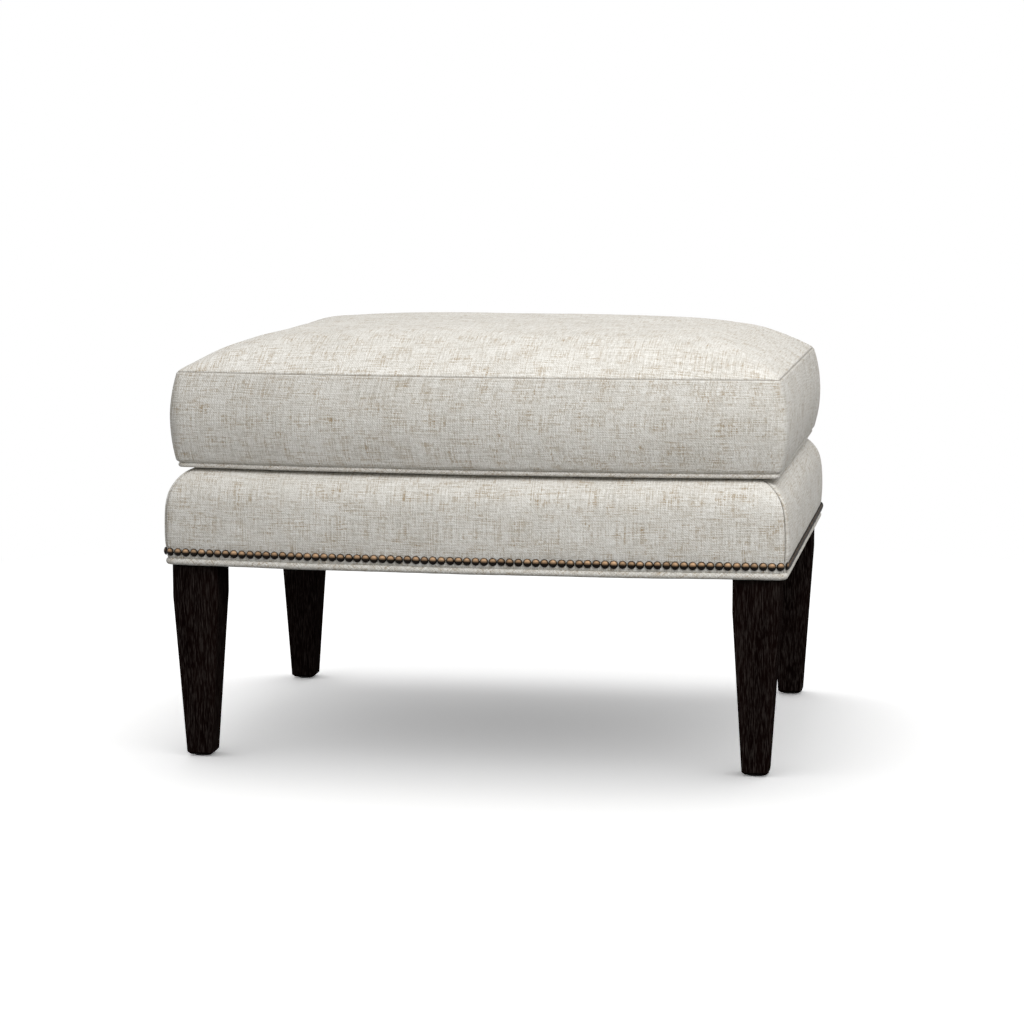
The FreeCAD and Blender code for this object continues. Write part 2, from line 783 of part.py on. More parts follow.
def cushion_filling():
    thickness, gap = size("panel_thickness"), size("soft_gap")
    inset = thickness + gap
    base_low = seat_level + thickness + gap
    base_high = base_low + size("fibre_thickness")
    lower = cushion_plan(size("cushion_welt") + 2 * gap, 0)
    shaped("fibre_base", lower.slab(base_low, base_high))
    core = boxing_block(inset, base_high + gap, seam_level - gap)
    groove_half = size("zip_tape") / 2 + gap
    levels = (boxing_middle - groove_half, boxing_middle + groove_half)
    groove = along_back(tape_inner - gap, zip_plan.radius + past, levels, size("zip_length") / 2 + gap)
    shaped("foam_core", core.cut(groove))
    shaped("fibre_crown", crown_block(inset))


# Zip in the back boxing


def zip_chain():
    tape, teeth = size("zip_tape") / 2, size("zip_teeth") / 2
    profile = [(tape_inner, -tape), (tape_outer, -tape), (tape_outer, -teeth), (zip_plan.radius, -teeth)]
    profile += [(radius, -level) for radius, level in reversed(profile)]
    shaped("zip_chain", bent([(r, boxing_middle + z) for r, z in profile], size("zip_length") / 2))


slider_face = zip_plan.radius + size("slider_play") + size("slider_plate")
pull_eye = size("slider_pin") / 2 + size("slider_play") + size("pull_wall")
pin_radius = slider_face + size("slider_play") + pull_eye


def to_closed_end(shape):
    # From the middle of the back to the closed end of the zip.
    swing = math.asin((size("zip_length") - size("slider_length")) / 2 / zip_plan.radius)
    shape.rotate(FreeCAD.Vector(0, zip_plan.centre, 0), up, -math.degrees(swing))
    return shape


def zip_slider():
    # A plate over the teeth, a flange in the slot on each side of them, and two cheeks with a pin.
    play, wide = size("slider_play"), size("slider_width") / 2
    flange_out = size("zip_slot") / 2 - play
    flange_in = size("zip_teeth") / 2 + play
    reach = tape_outer + play
    back = zip_plan.radius + play
    half = [(back, flange_in), (reach, flange_in), (reach, flange_out), (back, flange_out)]
    half += [(back, wide), (slider_face, wide)]
    profile = half + [(radius, -level) for radius, level in reversed(half)]
    body = bent([(r, boxing_middle + z) for r, z in profile], size("slider_length") / 2)
    throat, cheek = size("slider_throat") / 2, size("slider_cheek")
    post = size("slider_pin") / 2 + size("slider_cheek")
    y = zip_plan.centre + back
    height = zip_plan.centre + pin_radius + post - y
    for low in (-throat - cheek, throat):
        corner = FreeCAD.Vector(-post, y, boxing_middle + low)
        body = body.fuse(Part.makeBox(2 * post, height, cheek, corner))
    pin_low = FreeCAD.Vector(0, zip_plan.centre + pin_radius, boxing_middle - throat)
    pin = Part.makeCylinder(size("slider_pin") / 2, 2 * throat, pin_low, up)
    shaped("zip_slider", to_closed_end(body.fuse(pin)))


def zip_pull():
    # An eye on the slider's pin and a flat tab that lies along the boxing.
    play = size("slider_play")
    tall = size("slider_throat") - 2 * play
    y = zip_plan.centre + pin_radius
    low = boxing_middle - tall / 2
    eye = Part.makeCylinder(pull_eye, tall, FreeCAD.Vector(0, y, low), up)
    thick, wide = size("pull_thickness"), size("pull_width")
    neck = Part.makeBox(size("slider_length") / 2 + play, thick, tall, FreeCAD.Vector(0, y - thick / 2, low))
    neck.translate(FreeCAD.Vector(-size("slider_length") / 2 - play, 0, 0))
    start = size("slider_length") / 2
    corners = [(-start, tall / 2), (-start - wide, wide / 2), (-size("pull_length"), wide / 2)]
    loop = corners + [(x, -z) for x, z in reversed(corners)]
    points = [FreeCAD.Vector(x, y - thick / 2, boxing_middle + z) for x, z in loop]
    tab = Part.Face(Part.makePolygon(points + points[:1])).extrude(FreeCAD.Vector(0, thick, 0))
    bore = Part.makeCylinder(size("slider_pin") / 2 + play, tall, FreeCAD.Vector(0, y, low), up)
    shaped("zip_pull", to_closed_end(eye.fuse(neck).fuse(tab).cut(bore)))


bowed_rail("front_rail", 180)
bowed_rail("back_rail", 0)
side_rail("left_rail", f"- {inner_x_cell} - rail_thickness")
side_rail("right_rail", inner_x_cell)
corner_blocks()
legs()
hanger_bolts()
leg_nuts()
glides()
webbing()
base_padding()
base_covers()
base_piping()
nail_rows()
cambric()
cushion_cover()
cushion_filling()
zip_chain()
zip_slider()
zip_pull()

doc.recompute()
for thing in doc.Objects:
    if "Invalid" in thing.State or "Error" in thing.State:
        raise SystemExit(f"{thing.Label} did not build: {thing.State}")
for thing in nodes:
    if thing.Shape.isNull() or not thing.Shape.isValid() or not thing.Shape.Solids:
        raise SystemExit(f"{thing.Label} has no valid solid")

os.makedirs("parts", exist_ok=True)
for thing in nodes:
    thing.Shape.exportStep(f"parts/{thing.Label}.step")
    print(thing.Label, len(thing.Shape.Solids), round(thing.Shape.Volume))
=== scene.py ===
import math

import bmesh
import bpy
import numpy as np
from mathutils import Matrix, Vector, noise


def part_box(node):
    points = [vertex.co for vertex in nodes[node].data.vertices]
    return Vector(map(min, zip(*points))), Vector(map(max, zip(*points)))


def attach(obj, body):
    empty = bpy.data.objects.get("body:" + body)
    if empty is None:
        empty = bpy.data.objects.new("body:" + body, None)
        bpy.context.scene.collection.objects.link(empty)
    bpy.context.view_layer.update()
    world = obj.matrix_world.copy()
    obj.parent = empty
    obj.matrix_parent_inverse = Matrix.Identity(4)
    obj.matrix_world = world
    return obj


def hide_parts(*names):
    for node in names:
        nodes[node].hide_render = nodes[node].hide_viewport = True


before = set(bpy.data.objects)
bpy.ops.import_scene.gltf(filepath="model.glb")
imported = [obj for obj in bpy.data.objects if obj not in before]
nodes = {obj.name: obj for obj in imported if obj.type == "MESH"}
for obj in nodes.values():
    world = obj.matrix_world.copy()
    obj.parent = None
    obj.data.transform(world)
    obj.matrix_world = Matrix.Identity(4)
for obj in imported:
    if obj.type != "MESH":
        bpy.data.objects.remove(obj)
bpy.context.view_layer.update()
scene = bpy.context.scene
print("frame loaded:", len(nodes), "nodes")


# Short ways to write a node tree

def put(tree, kind, inputs=None, **settings):
    # One node with its settings, and its inputs set or linked.
    node = tree.nodes.new(kind)
    for name, value in settings.items():
        setattr(node, name, value)
    for key, value in (inputs or {}).items():
        if isinstance(value, bpy.types.NodeSocket):
            tree.links.new(value, node.inputs[key])
        else:
            node.inputs[key].default_value = value
    return node


def chained(tree, operation, first, *others):
    for other in others:
        first = put(tree, "ShaderNodeMath", {0: first, 1: other}, operation=operation).outputs[0]
    return first


def plus(tree, *values):
    return chained(tree, "ADD", *values)


def times(tree, *values):
    return chained(tree, "MULTIPLY", *values)


def ranged(tree, value, low, high, outLow=0.0, outHigh=1.0):
    inputs = {"Value": value, "From Min": low, "From Max": high, "To Min": outLow, "To Max": outHigh}
    return put(tree, "ShaderNodeMapRange", inputs).outputs[0]


def objectPlace(tree):
    return put(tree, "ShaderNodeTexCoord").outputs["Object"]


# Camera, floor and light

view = {
    "place": (0.6039, -3.4623, 0.7138),
    "down": 7.385,  # degrees below the level
    "turn": 9.90,  # degrees to the left of straight on
    "sensor": 36,
    "lens": 102.83,
}

studio = {
    "ambient": 0.58,
    "aim": (0, 0, 0.3),
    "topPower": 8,  # watts
    "topSize": 1.4,
    "topPlace": (-0.2, 0.75, 2.4),
    "frontPower": 47,
    "frontSize": 1.6,
    "frontPlace": (1.05, -1.6, 2.1),
    "floorSeen": (1.68, 1.68, 1.68),
    "floorBounce": (0.38, 0.38, 0.38),
    "floorGlow": 0.12,
    "floorHalf": 30,
    "floorFade": (0.9, 1.6),  # distances between which the lit floor turns into plain white
}

cameraData = bpy.data.cameras.new("camera")
cameraData.sensor_width = view["sensor"]
cameraData.lens = view["lens"]
camera = bpy.data.objects.new("camera", cameraData)
camera.location = view["place"]
camera.rotation_euler = (math.radians(90 - view["down"]), 0, math.radians(view["turn"]))
scene.collection.objects.link(camera)
scene.camera = camera
scene.view_settings.view_transform = "Standard"


def areaLight(name, power, size, place):
    lamp = bpy.data.lights.new(name, "AREA")
    lamp.energy = power
    lamp.size = size
    light = bpy.data.objects.new(name, lamp)
    light.location = place
    light.rotation_euler = (Vector(studio["aim"]) - Vector(place)).to_track_quat("-Z", "Y").to_euler()
    scene.collection.objects.link(light)
    return light


def seenRays(tree):
    # Rays that show the background: the camera's own, and those that gloss or glass sends on.
    path = put(tree, "ShaderNodeLightPath").outputs
    return chained(tree, "MAXIMUM", path["Is Camera Ray"], path["Is Glossy Ray"], path["Is Transmission Ray"])


def makeStudio():
    areaLight("topLight", studio["topPower"], studio["topSize"], studio["topPlace"])
    front = areaLight("frontLight", studio["frontPower"], studio["frontSize"], studio["frontPlace"])
    world = bpy.data.worlds.new("studio")
    scene.world = world
    world.use_nodes = True
    tree = world.node_tree
    tree.nodes.clear()
    soft = put(tree, "ShaderNodeBackground", {"Color": (1, 1, 1, 1), "Strength": studio["ambient"]})
    white = put(tree, "ShaderNodeBackground", {"Color": (1, 1, 1, 1), "Strength": 1.0})
    mix = put(tree, "ShaderNodeMixShader", {0: seenRays(tree), 1: soft.outputs[0], 2: white.outputs[0]})
    put(tree, "ShaderNodeOutputWorld", {"Surface": mix.outputs[0]})

    material = bpy.data.materials.new("paleFloor")
    material.use_nodes = True
    tree = material.node_tree
    tree.nodes.clear()
    plain = put(tree, "ShaderNodeBsdfDiffuse", {"Color": (*studio["floorBounce"], 1)})
    lit = put(tree, "ShaderNodeBsdfDiffuse", {"Color": (*studio["floorSeen"], 1)})
    glow = put(tree, "ShaderNodeEmission", {"Color": (1, 1, 1, 1), "Strength": studio["floorGlow"]})
    near = put(tree, "ShaderNodeAddShader", {0: lit.outputs[0], 1: glow.outputs[0]})
    far = put(tree, "ShaderNodeEmission", {"Color": (1, 1, 1, 1), "Strength": 1.0})
    distance = put(tree, "ShaderNodeVectorMath", {0: objectPlace(tree)}, operation="LENGTH").outputs["Value"]
    fade = ranged(tree, distance, *studio["floorFade"])
    seen = put(tree, "ShaderNodeMixShader", {0: fade, 1: near.outputs[0], 2: far.outputs[0]})
    mix = put(tree, "ShaderNodeMixShader", {0: seenRays(tree), 1: plain.outputs[0], 2: seen.outputs[0]})
    put(tree, "ShaderNodeOutputMaterial", {"Surface": mix.outputs[0]})
    half = studio["floorHalf"]
    mesh = bpy.data.meshes.new("floor")
    corners = [(-half, -half, 0), (half, -half, 0), (half, half, 0), (-half, half, 0)]
    mesh.from_pydata(corners, [], [(0, 1, 2, 3)])
    mesh.materials.append(material)
    floor = bpy.data.objects.new("floor", mesh)
    scene.collection.objects.link(floor)
    unlit = bpy.data.collections.new("unlitByFront")
    unlit.objects.link(floor)
    unlit.collection_objects[0].light_linking.link_state = "EXCLUDE"
    front.light_linking.receiver_collection = unlit


makeStudio()
print("camera, floor and light are in place")


# Finishes

def newMaterial(name, **shader):
    material = bpy.data.materials.new(name)
    material.use_nodes = True
    tree = material.node_tree
    surface = tree.nodes["Principled BSDF"]
    for label, value in shader.items():
        surface.inputs[label.replace("_", " ")].default_value = value
    return material, tree, surface


def stretched(tree, coordinate, size, offset=(0, 0, 0)):
    # A pattern space whose unit is size, in metres along each axis.
    scale = tuple(1 / part for part in size)
    return put(tree, "ShaderNodeMapping", {"Vector": coordinate, "Scale": scale, "Location": offset}).outputs[0]


def fineNoise(tree, vector, detail, roughness):
    return put(tree, "ShaderNodeTexNoise",
               {"Vector": vector, "Scale": 1.0, "Detail": detail, "Roughness": roughness}).outputs[0]


def opaque(color):
    return color if isinstance(color, bpy.types.NodeSocket) else (*color, 1)


def mixed(tree, factor, first, second):
    inputs = {0: factor, 6: opaque(first), 7: opaque(second)}
    return put(tree, "ShaderNodeMix", inputs, data_type="RGBA").outputs[2]


def attributeValue(tree, name):
    return put(tree, "ShaderNodeAttribute", attribute_name=name).outputs["Fac"]


def dressed(tree, surface, color, height, relief, roughness=None):
    bump = put(tree, "ShaderNodeBump", {"Height": height, "Distance": relief, "Strength": 1.0})
    tree.links.new(bump.outputs[0], surface.inputs["Normal"])
    tree.links.new(color, surface.inputs["Base Color"])
    if roughness:
        tree.links.new(roughness, surface.inputs["Roughness"])


linen = {
    "ground": (0.645, 0.622, 0.572),
    "dark": (0.42, 0.398, 0.35),
    "pale": (0.85, 0.84, 0.805),
    "tan": (0.36, 0.27, 0.165),
    # the seam colour is painted shade, laid into the creases along the sewn seams
    "seam": (0.16, 0.14, 0.115),
    "slubLength": 0.036,
    "slubWidth": 0.0014,
    "threadLength": 0.0062,
    "threadWidth": 0.0012,
    "grain": 0.0015,
    "patch": 0.019,
    "cloud": 0.07,
    "twill": 0.0014,
    "twillBands": 0.3183,
    # how much each pattern adds to the light and dark of the cloth
    "slubShare": 0.48,
    "threadShare": 0.42,
    "grainShare": 0.55,
    "twillShare": 0.32,
    "cloudShare": 0.22,
    "contrast": 0.66,
    "fleckShade": 0.95,
    "seamShade": 0.7,
    "relief": 0.0002,
}


def makeLinen():
    # A slubbed linen: long uneven threads both ways, tan flecks in patches, and a fine diagonal rib.
    material, tree, surface = newMaterial("slubbedLinen", Roughness=0.9, Specular_IOR_Level=0.2,
                                          Sheen_Weight=0.08, Sheen_Roughness=0.5)
    uv = put(tree, "ShaderNodeUVMap", uv_map="weave").outputs[0]
    slubs, threads = [], []
    for n in range(2):
        for kind, made, detail, offset in (("slub", slubs, 2.0, (3.7 * n, 11.3, 0)),
                                           ("thread", threads, 1.0, (7.1, 5.9 * n, 0))):
            along, across = linen[kind + "Length"], linen[kind + "Width"]
            size = (across, along, 1) if n else (along, across, 1)
            made.append(fineNoise(tree, stretched(tree, uv, size, offset), detail, 0.5))
    cloud = fineNoise(tree, stretched(tree, uv, (linen["cloud"],) * 3), 2.0, 0.55)
    patches = fineNoise(tree, stretched(tree, uv, (linen["patch"],) * 3, (2.3, 8.1, 0)), 3.0, 0.6)
    grain = fineNoise(tree, stretched(tree, uv, (linen["grain"],) * 3, (1.9, 4.7, 0)), 1.0, 0.5)
    diagonal = put(tree, "ShaderNodeTexWave",
                   {"Vector": stretched(tree, uv, (linen["twill"],) * 3), "Scale": linen["twillBands"],
                    "Distortion": 0.8, "Detail": 1.0, "Detail Scale": 1.5},
                   wave_type="BANDS", bands_direction="DIAGONAL").outputs[1]
    slubWeave, threadWeave = (plus(tree, *(ranged(tree, one, 0.3, 0.7, -1, 1) for one in made))
                              for made in (slubs, threads))
    grainShare, cloudShare = linen["grainShare"], linen["cloudShare"]
    value = plus(tree, times(tree, slubWeave, linen["slubShare"]),
                 times(tree, threadWeave, linen["threadShare"]),
                 ranged(tree, grain, 0.25, 0.75, -grainShare, grainShare),
                 times(tree, chained(tree, "SUBTRACT", diagonal, 0.5), linen["twillShare"]),
                 ranged(tree, cloud, 0.3, 0.7, cloudShare, -cloudShare))
    value = times(tree, value, linen["contrast"])
    color = mixed(tree, ranged(tree, value, 0, 0.95), linen["ground"], linen["pale"])
    color = mixed(tree, ranged(tree, value, 0, -0.95), color, linen["dark"])
    for slub, thread in zip(slubs, threads[::-1]):
        fleck = times(tree, ranged(tree, slub, 0.5, 0.37), ranged(tree, thread, 0.58, 0.42),
                      ranged(tree, patches, 0.42, 0.64, 0.1, 1.0), linen["fleckShade"])
        color = mixed(tree, fleck, color, linen["tan"])
    # painted shade: the cloth is darkened along the seams, where their creases are shaded
    color = mixed(tree, times(tree, attributeValue(tree, "seam"), linen["seamShade"]), color, linen["seam"])
    dressed(tree, surface, color, plus(tree, value, times(tree, diagonal, 0.3)), linen["relief"])
    return material


espresso = {
    "dark": (0.0035, 0.0014, 0.0012),
    "light": (0.036, 0.029, 0.026),
    "warm": (0.0068, 0.0030, 0.0024),
    "poreWidth": 0.0012,
    "poreLength": 0.017,
    "figure": 0.02,
    "relief": 0.0004,
    "shine": 0.0,
}


def makeWood(name, colors, roughness, grainTurn=(0, 0, 0)):
    # Long pores along the grain, broader figure, and a slight relief.
    material, tree, surface = newMaterial(name, Roughness=roughness, Specular_IOR_Level=colors["shine"])
    place = put(tree, "ShaderNodeMapping", {"Vector": objectPlace(tree), "Rotation": grainTurn}).outputs[0]
    width, length = colors["poreWidth"], colors["poreLength"]
    pores = fineNoise(tree, stretched(tree, place, (width, width, length)), 4.0, 0.62)
    size = colors["figure"]
    figure = fineNoise(tree, stretched(tree, place, (size, size, length * 8)), 3.0, 0.55)
    color = mixed(tree, ranged(tree, figure, 0.35, 0.68), colors["dark"], colors["warm"])
    color = mixed(tree, ranged(tree, pores, 0.47, 0.70), color, colors["light"])
    worn = ranged(tree, pores, 0.3, 0.7, roughness + 0.12, roughness - 0.06)
    dressed(tree, surface, color, pores, colors["relief"], worn)
    return material


hardwood = {
    "dark": (0.40, 0.27, 0.15),
    "light": (0.56, 0.41, 0.25),
    "warm": (0.48, 0.33, 0.19),
    "poreWidth": 0.002,
    "poreLength": 0.05,
    "figure": 0.018,
    "relief": 0.0003,
    "shine": 0.4,
}


def makeSpeckled(name, first, second, grain, relief, metallic=0.0, roughness=0.8):
    # Two colours in a fine irregular mix, for plastic, metal, felt and plain cloth.
    material, tree, surface = newMaterial(name, Metallic=metallic, Roughness=roughness)
    mottle = fineNoise(tree, stretched(tree, objectPlace(tree), (grain,) * 3), 4.0, 0.6)
    color = mixed(tree, ranged(tree, mottle, 0.35, 0.65), first, second)
    worn = ranged(tree, mottle, 0.3, 0.7, max(roughness - 0.08, 0.05), roughness + 0.06)
    dressed(tree, surface, color, mottle, relief, worn)
    return material


def makeWoven(name, first, second, pitch, relief, roughness=0.9):
    # A plain over-and-under weave, read from all three axes so that it lies on any face.
    material, tree, surface = newMaterial(name, Roughness=roughness)
    place = objectPlace(tree)
    checks = put(tree, "ShaderNodeTexChecker",
                 {"Vector": stretched(tree, place, (pitch,) * 3), "Scale": 1.0, "Color1": opaque(first),
                  "Color2": opaque(second)})
    fibre = fineNoise(tree, stretched(tree, place, (pitch / 3,) * 3), 3.0, 0.6)
    mottled = mixed(tree, times(tree, fibre, 0.8), first, second)
    color = mixed(tree, 0.5, checks.outputs[0], mottled)
    dressed(tree, surface, color, plus(tree, checks.outputs[1], fibre), relief)
    return material


bronze = {
    # the bronze where worn, and the painted highlight on the upper side of each head
    "wornAndHighlit": (0.78, 0.50, 0.29),
    # nearly black: the painted shade underneath and where the heads turn from the eye, and the dark towards
    # each rim
    "dark": (0.005, 0.003, 0.002),
    "grain": 0.0022,
    "metal": 0.1,
    "roughness": 0.42,
    "shine": 0.08,
    "relief": 0.00006,
    # from where to where the bright colour comes in: up the head, by its slope as painted light on the upper
    # side and painted shade underneath, and by how it faces the eye as painted shade at the rims and along the
    # side row
    "crown": (0.45, 0.9),
    "paintedLightFromAbove": (-0.1, 0.45),
    "facing": (0.55, 0.25),
}


def makeBronze():
    # Antiqued nail heads: bright up the crown and nearly black where they meet the cloth, with painted light on
    # their upper side, painted shade underneath, and painted shade where they turn away from the eye.
    material, tree, surface = newMaterial("antiqueBronze", Metallic=bronze["metal"],
                                          Roughness=bronze["roughness"], Specular_IOR_Level=bronze["shine"])
    mottle = fineNoise(tree, stretched(tree, objectPlace(tree), (bronze["grain"],) * 3), 3.0, 0.6)
    tone, crown = attributeValue(tree, "tone"), attributeValue(tree, "crown")
    normal = put(tree, "ShaderNodeNewGeometry").outputs["Normal"]
    # painted light: by the slope of the surface, the upper side of each head is made bright and its underside
    # nearly black
    paintedLightFromAbove = put(tree, "ShaderNodeSeparateXYZ", {0: normal}).outputs[2]
    # painted shade: the heads go dark where they turn away from the eye, which blacks out the rims and the side
    # row
    facing = put(tree, "ShaderNodeLayerWeight", {"Blend": 0.5}).outputs["Facing"]
    # random tone, the head's height, the painted light from above and the painted shade at the rims are
    # multiplied into one mask
    wearAndPaintedLight = plus(tree, times(tree, tone, 0.3), times(tree, mottle, 0.6), 0.3)
    wearAndPaintedLight = times(tree, wearAndPaintedLight, ranged(tree, crown, *bronze["crown"]), ranged(tree, paintedLightFromAbove, *bronze["paintedLightFromAbove"]),
                 ranged(tree, facing, *bronze["facing"]))
    dressed(tree, surface, mixed(tree, wearAndPaintedLight, bronze["dark"], bronze["wornAndHighlit"]), mottle, bronze["relief"])
    return material


finishes = {
    "linen": makeLinen(),
    "legWood": makeWood("espressoWood", espresso, 0.5),
    "frameWoodX": makeWood("sawnHardwoodX", hardwood, 0.7, (0, math.pi / 2, 0)),
    "frameWoodY": makeWood("sawnHardwoodY", hardwood, 0.7, (math.pi / 2, 0, 0)),
    "bronze": makeBronze(),
    "zipBrass": makeSpeckled("zipBrass", (0.30, 0.20, 0.09), (0.20, 0.13, 0.06), 0.003, 0.00003, 1.0, 0.34),
    "boltSteel": makeSpeckled("zincSteel", (0.55, 0.55, 0.56), (0.43, 0.43, 0.44), 0.004, 0.00003, 1.0, 0.38),
    "glide": makeSpeckled("glidePlastic", (0.03,) * 3, (0.045, 0.044, 0.042), 0.002, 0.00005, 0.0, 0.55),
    "jute": makeWoven("juteWebbing", (0.42, 0.30, 0.17), (0.30, 0.20, 0.10), 0.003, 0.0005),
    "felt": makeSpeckled("fibreFelt", (0.42, 0.34, 0.24), (0.30, 0.24, 0.17), 0.003, 0.0005),
    "decking": makeWoven("cottonDecking", (0.64, 0.60, 0.51), (0.57, 0.53, 0.45), 0.0011, 0.00012),
    "cambric": makeSpeckled("blackCambric", (0.018, 0.018, 0.019), (0.030, 0.030, 0.031), 0.0012, 0.0002),
    "zipTape": makeWoven("zipTapeCloth", (0.66, 0.63, 0.56), (0.58, 0.55, 0.48), 0.0009, 0.0001),
}

finishedNodes = {
    "legWood": ("leg_back_right", "leg_back_left", "leg_front_left", "leg_front_right"),
    "frameWoodX": ("front_rail", "back_rail", "corner_blocks"),
    "frameWoodY": ("left_rail", "right_rail"),
    "boltSteel": ("hanger_bolts", "leg_nuts"),
    "glide": ("glides",),
    "jute": ("webbing_lengthwise", "webbing_crosswise"),
    "felt": ("deck_insulator",),
    "zipBrass": ("zip_slider", "zip_pull"),
}
for finish, names in finishedNodes.items():
    for name in names:
        nodes[name].data.materials.clear()
        nodes[name].data.materials.append(finishes[finish])
print("finishes are made:", len(finishes))


# The plan of the base and of the cushion: straight sides, bowed front and back, round corners.
# An edge runs anticlockwise from above, from the middle of one corner to the middle of the next.

edges = ("front", "right", "back", "left")


def edgeLine(plan, inset, corner, edge, share):
    # Places, outward directions and distances from the edge's middle, at shares of its length.
    half = plan["width"] / 2 - inset
    bowRadius = (plan["width"] ** 2 / 4 + plan["bow"] ** 2) / (2 * plan["bow"])
    centre = plan["depth"] / 2 + plan["bow"] - bowRadius
    bowRadius -= inset
    cornerX = half - corner
    cornerY = centre + math.sqrt((bowRadius - corner) ** 2 - cornerX**2)
    turn = math.atan2(cornerY - centre, cornerX)
    onBow = edge in ("front", "back")
    cornerRun = corner * turn / 2
    mainRun = bowRadius * (math.pi - 2 * turn) if onBow else 2 * cornerY
    run = np.asarray(share, float) * (2 * cornerRun + mainRun)
    past = run - cornerRun - mainRun
    first, last = run < cornerRun, past > 0
    if onBow:
        angle = turn + (run - cornerRun) / bowRadius
        angle = np.where(first, turn / 2 + run / corner, angle)
        angle = np.where(last, math.pi - turn + past / corner, angle)
        away = np.stack([np.cos(angle), np.sin(angle)], 1)
        middle = np.zeros_like(away)
        middle[:, 0] = np.where(first, cornerX, np.where(last, -cornerX, 0))
        middle[:, 1] = np.where(first | last, cornerY, centre)
        spot = middle + away * np.where(first | last, corner, bowRadius)[:, None]
    else:
        angle = np.where(first, -turn / 2 + run / corner, np.where(last, past / corner, 0))
        away = np.stack([np.cos(angle), np.sin(angle)], 1)
        spot = np.empty_like(away)
        spot[:, 0] = cornerX + corner * away[:, 0]
        along = np.clip(run - cornerRun, 0, mainRun) - cornerY
        spot[:, 1] = along + corner * away[:, 1]
    if edge in ("front", "left"):
        spot, away = -spot, -away
    return spot, away, run - (2 * cornerRun + mainRun) / 2


def gradedShares(length, step, fineEnds):
    # Shares of a length, close together at both ends.
    ends = np.array(fineEnds)
    count = max(2, round((length - 2 * ends[-1]) / step))
    middle = np.linspace(ends[-1], length - ends[-1], count + 1)
    return np.concatenate([ends[:-1], middle, length - ends[:-1][::-1]]) / length


def smoothLine(points, steps):
    # A smooth line through the points, with that many steps from each to the next.
    p = np.array(points, float)
    p = np.vstack([2 * p[0] - p[1], p, 2 * p[-1] - p[-2]])
    line = []
    for a, b, c, d in zip(p, p[1:], p[2:], p[3:]):
        for t in np.linspace(0, 1, steps, endpoint=False):
            curve = 2 * b + (c - a) * t + (2 * a - 5 * b + 4 * c - d) * t**2 + (3 * b - a - 3 * c + d) * t**3
            line.append(curve / 2)
    line.append(p[-2])
    return np.array(line)


def travelled(line):
    # Distances along a line, from its start to each of its points.
    return np.concatenate([[0], np.cumsum(np.linalg.norm(np.diff(line, axis=0), axis=1))])


def makePiece(name, points, faces, corners, material, seam=None):
    # A smooth mesh object with the weave's coordinates at each face corner, in metres.
    mesh = bpy.data.meshes.new(name)
    mesh.from_pydata([tuple(p) for p in points], [], faces)
    mesh.polygons.foreach_set("use_smooth", [True] * len(mesh.polygons))
    layer = mesh.uv_layers.new(name="weave")
    layer.data.foreach_set("uv", np.asarray(corners, float).ravel())
    # seam: where the cloth gets painted shade along the creases of the seams
    if seam is not None:
        shade = mesh.attributes.new("seam", "FLOAT", "POINT")
        shade.data.foreach_set("value", np.asarray(seam, float))
    mesh.materials.append(material)
    mesh.update()
    piece = bpy.data.objects.new(name, mesh)
    scene.collection.objects.link(piece)
    return piece


def settled(piece):
    # Turns a piece's live modifiers into its plain mesh.
    graph = bpy.context.evaluated_depsgraph_get()
    mesh = bpy.data.meshes.new_from_object(piece.evaluated_get(graph), preserve_all_data_layers=True,
                                           depsgraph=graph)
    before = piece.data
    piece.modifiers.clear()
    piece.data = mesh
    mesh.name = before.name
    bpy.data.meshes.remove(before)


def edited(piece, change):
    mesh = bmesh.new()
    mesh.from_mesh(piece.data)
    change(mesh)
    mesh.to_mesh(piece.data)
    mesh.free()


def thickened(piece, thickness):
    # Gives a sheet its thickness, inwards from its outer face.
    wall = piece.modifiers.new("wall", "SOLIDIFY")
    wall.thickness = thickness
    wall.offset = -1


def refined(piece, levels):
    finer = piece.modifiers.new("finer", "SUBSURF")
    finer.levels = levels
    finer.render_levels = levels
    settled(piece)


def gridFaces(rows, columns, start=0, flip=False):
    # Faces of a grid whose points run row by row.
    faces = []
    for r in range(rows - 1):
        for c in range(columns - 1):
            a = start + r * columns + c
            face = (a, a + 1, a + columns + 1, a + columns)
            faces.append(face[::-1] if flip else face)
    return faces


def unevenness(points, size, seed):
    # A gentle random height for each point, the same on every run.
    return np.array([noise.noise(Vector(p) / size + Vector((seed, seed * 1.7, seed * 0.3))) for p in points])


# Base: four mitred covers over the padding

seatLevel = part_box("cushion_bottom")[0].z
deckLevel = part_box("deck_cloth")[1].z

baseCover = {
    "width": 0.711,
    "depth": 0.553,
    "bow": 0.018,
    "corner": 0.012,
    "cornerSpread": 0.12,
    "thickness": 0.0012,
    "step": 0.0048,
    "fineEnds": (0, 0.0007, 0.0018, 0.0036, 0.0064, 0.0105),
    "seamDip": 0.0017,
    "seamWidth": 0.0010,
    "lip": 0.0003,
    "slack": 0.0006,
    "slackSize": 0.07,
    "nailLevel": 0.2403,
    "nailInset": 0.0006,
    "nailPitch": 0.0097,
    "nailDimple": 0.0005,
    "nailReach": 0.006,
    "deckReach": 0.004,
    "belowNails": 0.4,  # what is left there of the dips
    # inset from the outline and height, in millimetres, from the welt to the lip on the deck
    "profile": ((2.4, 232.4), (1.2, 234.6), (0.9, 240.0), (-0.1, 246.0), (-0.8, 254.0), (-1.1, 264.0),
                (-0.9, 276.0), (-0.3, 288.0), (1.0, 299.0), (3.2, 308.0), (6.9, 316.0), (12.2, 323.3),
                (19.5, 329.8), (28.0, 333.2), (38.0, 334.5), (50.0, 334.7), (60.0, 334.6)),
}


